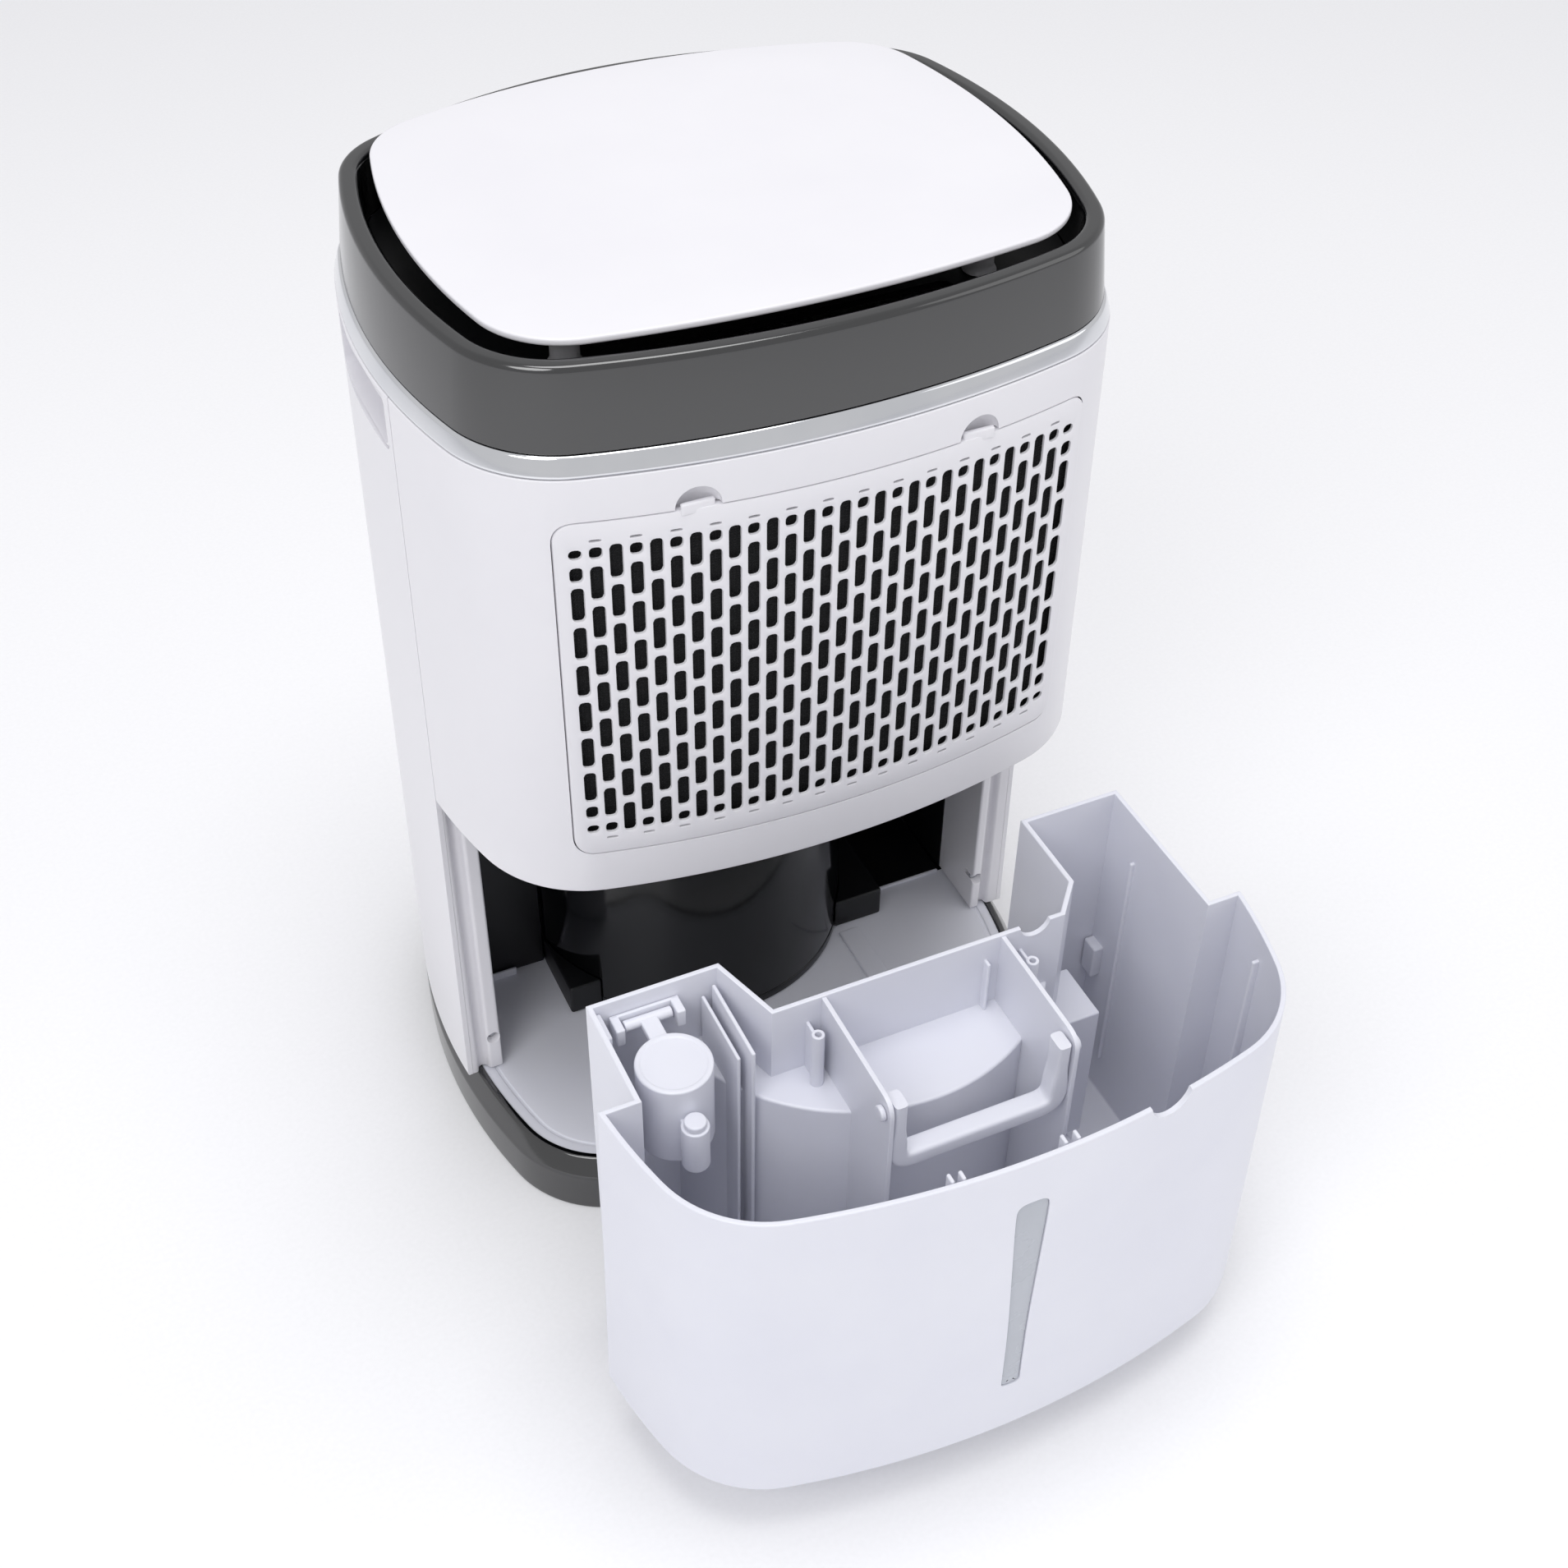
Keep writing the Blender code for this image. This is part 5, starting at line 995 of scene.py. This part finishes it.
carve(first, [tank_shell("tank_core", [(0.4, t_low + 0.5), (0.4, t_top - 4)])], "INTERSECT")
carve(bucket, [first], "UNION")
carve(bucket, hollows)

spout_r, spout_x, web_r, web_x = 10.5, -62.0, 7.5, -60.0
spout = lathe_y("spout_cut", rod(spout_r, 90 + pulled, 150 + pulled), spout_x, t_top + 1.5, 64)
web_cut = lathe_y("web_cut", rod(web_r, 3 + pulled, 16 + pulled), web_x, t_top + 0.5, 64)


def tank_rear(x, z):
    """Y of the tank's rear face, an arc of the body's rear radius set out by tank_out."""
    out = tank_out(z)
    radius = BODY["rear_radius"] + out
    return BODY["rear"] + out - radius + np.sqrt(radius**2 - x**2) + pulled


lens_low, lens_high = mm_box("water_window")
lens_x, lens_mid = (lens_low[0] + lens_high[0]) / 2, lens_low[2] * 2 / 3 + lens_high[2] / 3
wide, slim = 7.5, 4.5
lens_line = np.array([(slim, lens_low[2]), (slim, lens_mid), (wide, lens_high[2] - 13), (wide, lens_high[2]),
                      (-wide, lens_high[2]), (-wide, lens_high[2] - 13), (-slim, lens_mid),
                      (-slim, lens_low[2])])
lens_line = fillet(lens_line, [3.0, 30, 14, 5.5, 5.5, 14, 30, 3.0], 8) + (lens_x, 0)


def on_tank(name, line, rings):
    """Rings of an outline laid on the tank's rear face; each ring is (inset, depth below the face)."""
    stack = []
    for d, depth in rings:
        flat = inset(line, d) if d else line
        stack.append(np.column_stack([flat[:, 0], tank_rear(flat[:, 0], flat[:, 1]) - depth, flat[:, 1]]))
    return solid(name, np.stack(stack))


carve(bucket, [spout, web_cut, on_tank("window_cut", lens_line, [(-0.25, 1.4), (-0.25, -4.0)])])
finished(bucket, "tank", *moulded, ["tank_bucket"], crease=32)

# Grey translucent polystyrene: a soft milky sheen, darker where the wall behind it is wet.
window_grey = mottled("frosted_grey_polystyrene", "#B3B7BF", 0.25, (45.0, 3.0), ("#AFB3BB", "#B8BCC4"),
                      (0.2, 0.34), (0.03, 0.6), (1800.0, 2.0), IOR=1.57)
window = on_tank("level_window", lens_line, [(0.1, 1.2), (0.05, 0.75), (0.5, 0.5), (3.4, 0.42)])
finished(window, "tank", "window", window_grey, ["water_window"])


def dome_pass():
    """The space that the compressor cover needs under the tank's shelf."""
    return lathe("dome_pass", rod(clear_r + 0.6, 0, shelf_z - 1), dome_x, dome_y + pulled, FINE)


for side, x0, x1, peg_x in (("left", 42.8, 45.0, 51.5), ("right", -45.0, -42.8, -53.5)):
    foot_z, head_z, end_y = t_low + 1.5, t_top - 1.0, 78.0
    line = fillet([(recess_y, foot_z), (end_y, foot_z), (end_y, head_z), (recess_y, head_z)],
                  [1.2, 1.2, 9.0, 1.2], 8)
    rings = [np.column_stack([np.full(len(line), x), inset(line, step_in) + (pulled, 0)])
             for step_in, x in fillet([(0.7, x0), (0, x0), (0, x1), (0.7, x1)], [0, 0.5, 0.5, 0], 3)]
    divider = solid(f"tank_divider_{side}", np.stack(rings))
    hole = lathe_x("divider_hole", rod(2.3, x0 - 3, x1 + 3), 72 + pulled, t_top - 10)
    carve(divider, [hole, dome_pass()])
    finished(divider, "tank", *moulded, bevel=0.2)
    peg_top, socket_z = t_top - 10, t_top - 17
    peg = [(POLE, shelf_z - 1), (3.1, shelf_z - 1), (2.9, peg_top), (1.5, peg_top), (1.5, socket_z),
           (POLE, socket_z)]
    peg = lathe(f"tank_peg_{side}", fillet(peg, [0, 0.2, 0.5, 0.3, 0.2, 0], 4), peg_x, 23 + pulled, 40)
    finished(peg, "tank", *moulded)
    web = block(f"peg_web_{side}", (peg_x - 0.8, peg_x + 0.8), (recess_y + 1 + pulled, 22 + pulled),
                (shelf_z - 0.5, t_top - 13), 0.5)
    finished(web, "tank", *moulded)

# Ribs and small stops moulded on the walls: (x range, y range in the bay, z range, rounding).
for name, x, y, z, edge in (
    ("float_fin_a", (80.8, 82.6), (-20, 23.5), (t_low + 2, t_top - 8), 0.8),
    ("float_fin_b", (86.0, 87.6), (-20, 19.5), (t_low + 2, t_top - 13), 0.7),
    ("leg_rib_outer", (-137.4, -134.6), (-24.5, -22.5), (62, 203), 0.8),
    ("leg_rib_rear", (-151, -144.5), (60, 62), (60, 214), 0.8),
    ("leg_stop", (-137.4, -131.5), (-46, -36), (112, 132), 1.2),
    ("leg_ledge", (-103, -85.5), (-18, 13), (62, 150), 1.0),
    ("shelf_rib", (-36.5, -34.9), (10.5, 16.5), (shelf_z - 0.5, t_top - 12), 0.7),
    ("prong_a", (38.5, 40.3), (116.5, 121.4), (t_top - 14, t_top - 0.6), 0.8),
    ("prong_b", (33.5, 35.3), (117.0, 121.8), (t_top - 14, t_top - 0.6), 0.8),
    ("prong_c", (-12.5, -10.7), (118.0, 122.8), (t_top - 14, t_top - 0.6), 0.8),
    ("prong_d", (-18.5, -16.7), (118.0, 122.8), (t_top - 14, t_top - 0.6), 0.8),
    ("ear_step_left", (135.4, 137.6), (-21, 26), (t_top - 24, t_top - 5), 0.9),
    ("ear_ledge_left", (133.8, 137.2), (-21, -6), (t_top - 12, t_top - 4), 0.9),
):
    rib = block(name, x, (y[0] + pulled, y[1] + pulled), z, edge)
    if name.startswith("float_fin"):
        carve(rib, [dome_pass()])
        carve(rib, [block("fin_foot", (62, 99), (-40 + pulled, 15.6 + pulled), (20, 58.5), 0.5)])
    finished(rib, "tank", *moulded)


# ---- Carrying handle ----
# A polypropylene bail whose two arms hang from pins through the dividers; the bar is deeper than the arms
# and its corners are rounded.

low, high = mm_box("tank_handle")
outer, arm, bar = high[0], 6.0, 9.0
pivot_y, pivot_z = (low[1] + high[1]) / 2, high[2] - 5.0
mid_x, mid_z = outer - arm / 2, low[2] + bar / 2
line = np.array([(-mid_x, pivot_z + 5.0), (-mid_x, mid_z), (mid_x, mid_z), (mid_x, pivot_z + 5.0)])
path = fillet(line, [0, 9.0, 9.0, 0], 14)
dense = [path[:1]]
for a, b in zip(path, path[1:]):
    count = max(1, int(np.hypot(*(b - a)) / 3))
    dense.append(a + (b - a) * (np.arange(1, count + 1) / count)[:, None])
path = np.concatenate(dense)
tangent = np.gradient(path, axis=0)
tangent /= np.linalg.norm(tangent, axis=1)[:, None]
normal = np.column_stack([-tangent[:, 1], tangent[:, 0]])
# The half depth eases from the arms' to the bar's by 3 s^2 - 2 s^3 over the 14 mm that start 9 mm under the
# pivot, and the section is a squared circle: cos and sin raised to 0.42.
share = np.clip((pivot_z - 9 - path[:, 1]) / 14, 0, 1)
half = arm / 2 + (bar - arm) / 2 * share * share * (3 - 2 * share)
t = np.linspace(0, 2 * math.pi, 32, endpoint=False)
square = lambda c: np.sign(c) * np.abs(c) ** 0.42
u, v = square(np.cos(t)), square(np.sin(t))
ring_x, ring_z = (path[:, i, None] + normal[:, i, None] * half[:, None] * u for i in (0, 1))
bail = solid("carry_handle", np.stack([ring_x, pivot_y + 5.0 * v + 0 * path[:, :1], ring_z], -1))
finished(bail, "handle", *moulded, ["tank_handle"], crease=45)
for number in (1, 2):
    low, high = mm_box(f"handle_pin_{number}")
    sign = 1 if low[0] > 0 else -1
    near, far = sorted((abs(low[0]), abs(high[0])))
    head = far - 2.3
    line = fillet([(POLE, near), (2.0, near), (2.0, head), (3.6, head), (3.6, far), (POLE, far)],
                  [0, 0.3, 0.2, 0.3, 0.9, 0], 4)
    pin = lathe_x(f"bail_pin_{number}", line * (1, sign), pivot_y, pivot_z)
    finished(pin, "tank", *moulded, [f"handle_pin_{number}"])


# ---- Float ----
# A sealed polypropylene can that lifts as the tank fills. A short lever with an axle holds it in a clip on
# the tank's leg, and a round socket at its rear carries the steel-cased sensing magnet.

low, high = mm_box("tank_float")
float_x = (low[0] + high[0]) / 2
radius = (high[0] - low[0]) / 2
float_y, socket_y, axle_y = low[1] + 32.0, high[1] - 6.2, low[1] + 2.5
z0, z1 = low[2], high[2]
seat, axle_z, dish_z = z1 - 0.35 * (z1 - z0), z1 - 3.0, z1 - 0.5
can_line = [(POLE, z0), (radius, z0), (radius, z1), (radius - 2.2, z1), (radius - 2.8, dish_z),
            (POLE, dish_z)]
magnet_low, magnet_high = mm_box("float_magnet")
magnet_x, magnet_y = ((magnet_low + magnet_high) / 2)[:2]
magnet_line = rod((magnet_high - magnet_low)[0] / 2, magnet_low[2], magnet_high[2])
for piece, nodes in (
    (lathe("float_can", fillet(can_line, [0, 2.2, 1.4, 0.4, 0.5, 0], 6), float_x, float_y), ["tank_float"]),
    (lathe("magnet_stem", fillet(rod(6.2, z0 + 5, seat), [0, 1.0, 0.8, 0], 5), float_x, socket_y, 64), ()),
    (block("magnet_bridge", (float_x - 4.5, float_x + 4.5), (float_y + radius - 2.0, socket_y),
           (z0 + 8, seat - 1), 0.8), ()),
    (lathe("magnet_cap", fillet(magnet_line, [0, 0.3, 1.0, 0], 5), magnet_x, magnet_y, 64), ["float_magnet"]),
    (block("float_lever", (float_x - 4, float_x + 4), (axle_y, float_y - radius + 3.0),
           (axle_z - 2, axle_z + 2), 0.9), ()),
    (lathe_x("float_axle", fillet(rod(2.5, float_x - 11, float_x + 11), [0, 0.6, 0.6, 0], 4),
             axle_y, axle_z), ()),
):
    finished(piece, "float", *moulded, nodes)
low, high = mm_box("float_clip")
cheek = 4.0
for name, x, y_end, edge, nodes in (
    ("clip_back", (low[0], high[0]), low[1] + 1.7, 0.6, ["float_clip"]),
    ("clip_cheek_left", (high[0] - cheek, high[0]), high[1], 0.8, ()),
    ("clip_cheek_right", (low[0], low[0] + cheek), high[1], 0.8, ()),
):
    clip = block(name, x, (low[1], y_end), (low[2], high[2]), edge)
    finished(clip, "tank", *moulded, nodes)


# ---- Inside ----
# What shows only through gaps: finned coils, fan, motor, compressor, pipes, boards and the capacitor. Their
# solids keep their shape and take finishes.

# Aluminium fins: bright, with the shade in the gaps between sheets painted into the colour as dark lines 1.8 mm
# apart.
fins, tree, shader = shader_of("aluminium_fins", "#C9CCD0", 0.38, Metallic=1.0)
gap_shade_bands = bands_of(tree, "X", 175.0, 0.1)
# Painted shade: the dark bands are the shadowed gaps between the fin sheets, not a colour of the metal.
colour_between(tree, shader, gap_shade_bands, "#6E7276", "#D6D9DC")
rough_between(tree, shader, gap_shade_bands, 0.5, 0.28)
bump_from(tree, shader, gap_shade_bands, 0.3)
dressed(["evaporator", "run_capacitor"], fins)

# Copper: warm metal, browned in patches by brazing.
copper = mottled("drawn_copper", "#C07A4C", 0.3, (60.0, 5.0), ("#8C5232", "#D08A5A"), (0.45, 0.22),
                 (0.03, 1.0), Metallic=1.0)
dressed(["condenser", "suction_pipe", "discharge_pipe"], copper)

# Stove enamel on drawn steel: deep black with a light orange peel.
enamel = mottled("black_stove_enamel", "#17181B", 0.35, (300.0, 2.0), ("#131417", "#1D1E22"), (0.28, 0.44),
                 (0.06, 1.0), IOR=1.52)
dressed(["compressor", "fan_motor"], enamel)

# Circuit board: green solder mask over copper tracks about 2 mm apart.
mask, tree, shader = shader_of("green_solder_mask", "#1C5A34", 0.4, IOR=1.5)
cells = add_node(tree, "ShaderNodeTexVoronoi", {"Vector": object_place(tree)}, Scale=420.0,
                 distance="MANHATTAN")
colour_between(tree, shader, cells.outputs["Distance"], "#2F7A49", "#174A2B")
rough_between(tree, shader, cells.outputs["Distance"], 0.3, 0.5)
bump_from(tree, shader, cells.outputs["Distance"], 0.05)
dressed(["power_board", "control_board"], mask)
dressed([f"compressor_mount_{i}" for i in (1, 2, 3)], rubber)
dressed(["fan_shroud", "motor_bracket", "fan_wheel"], black_abs)
dressed(["drip_tray"], tank_white)
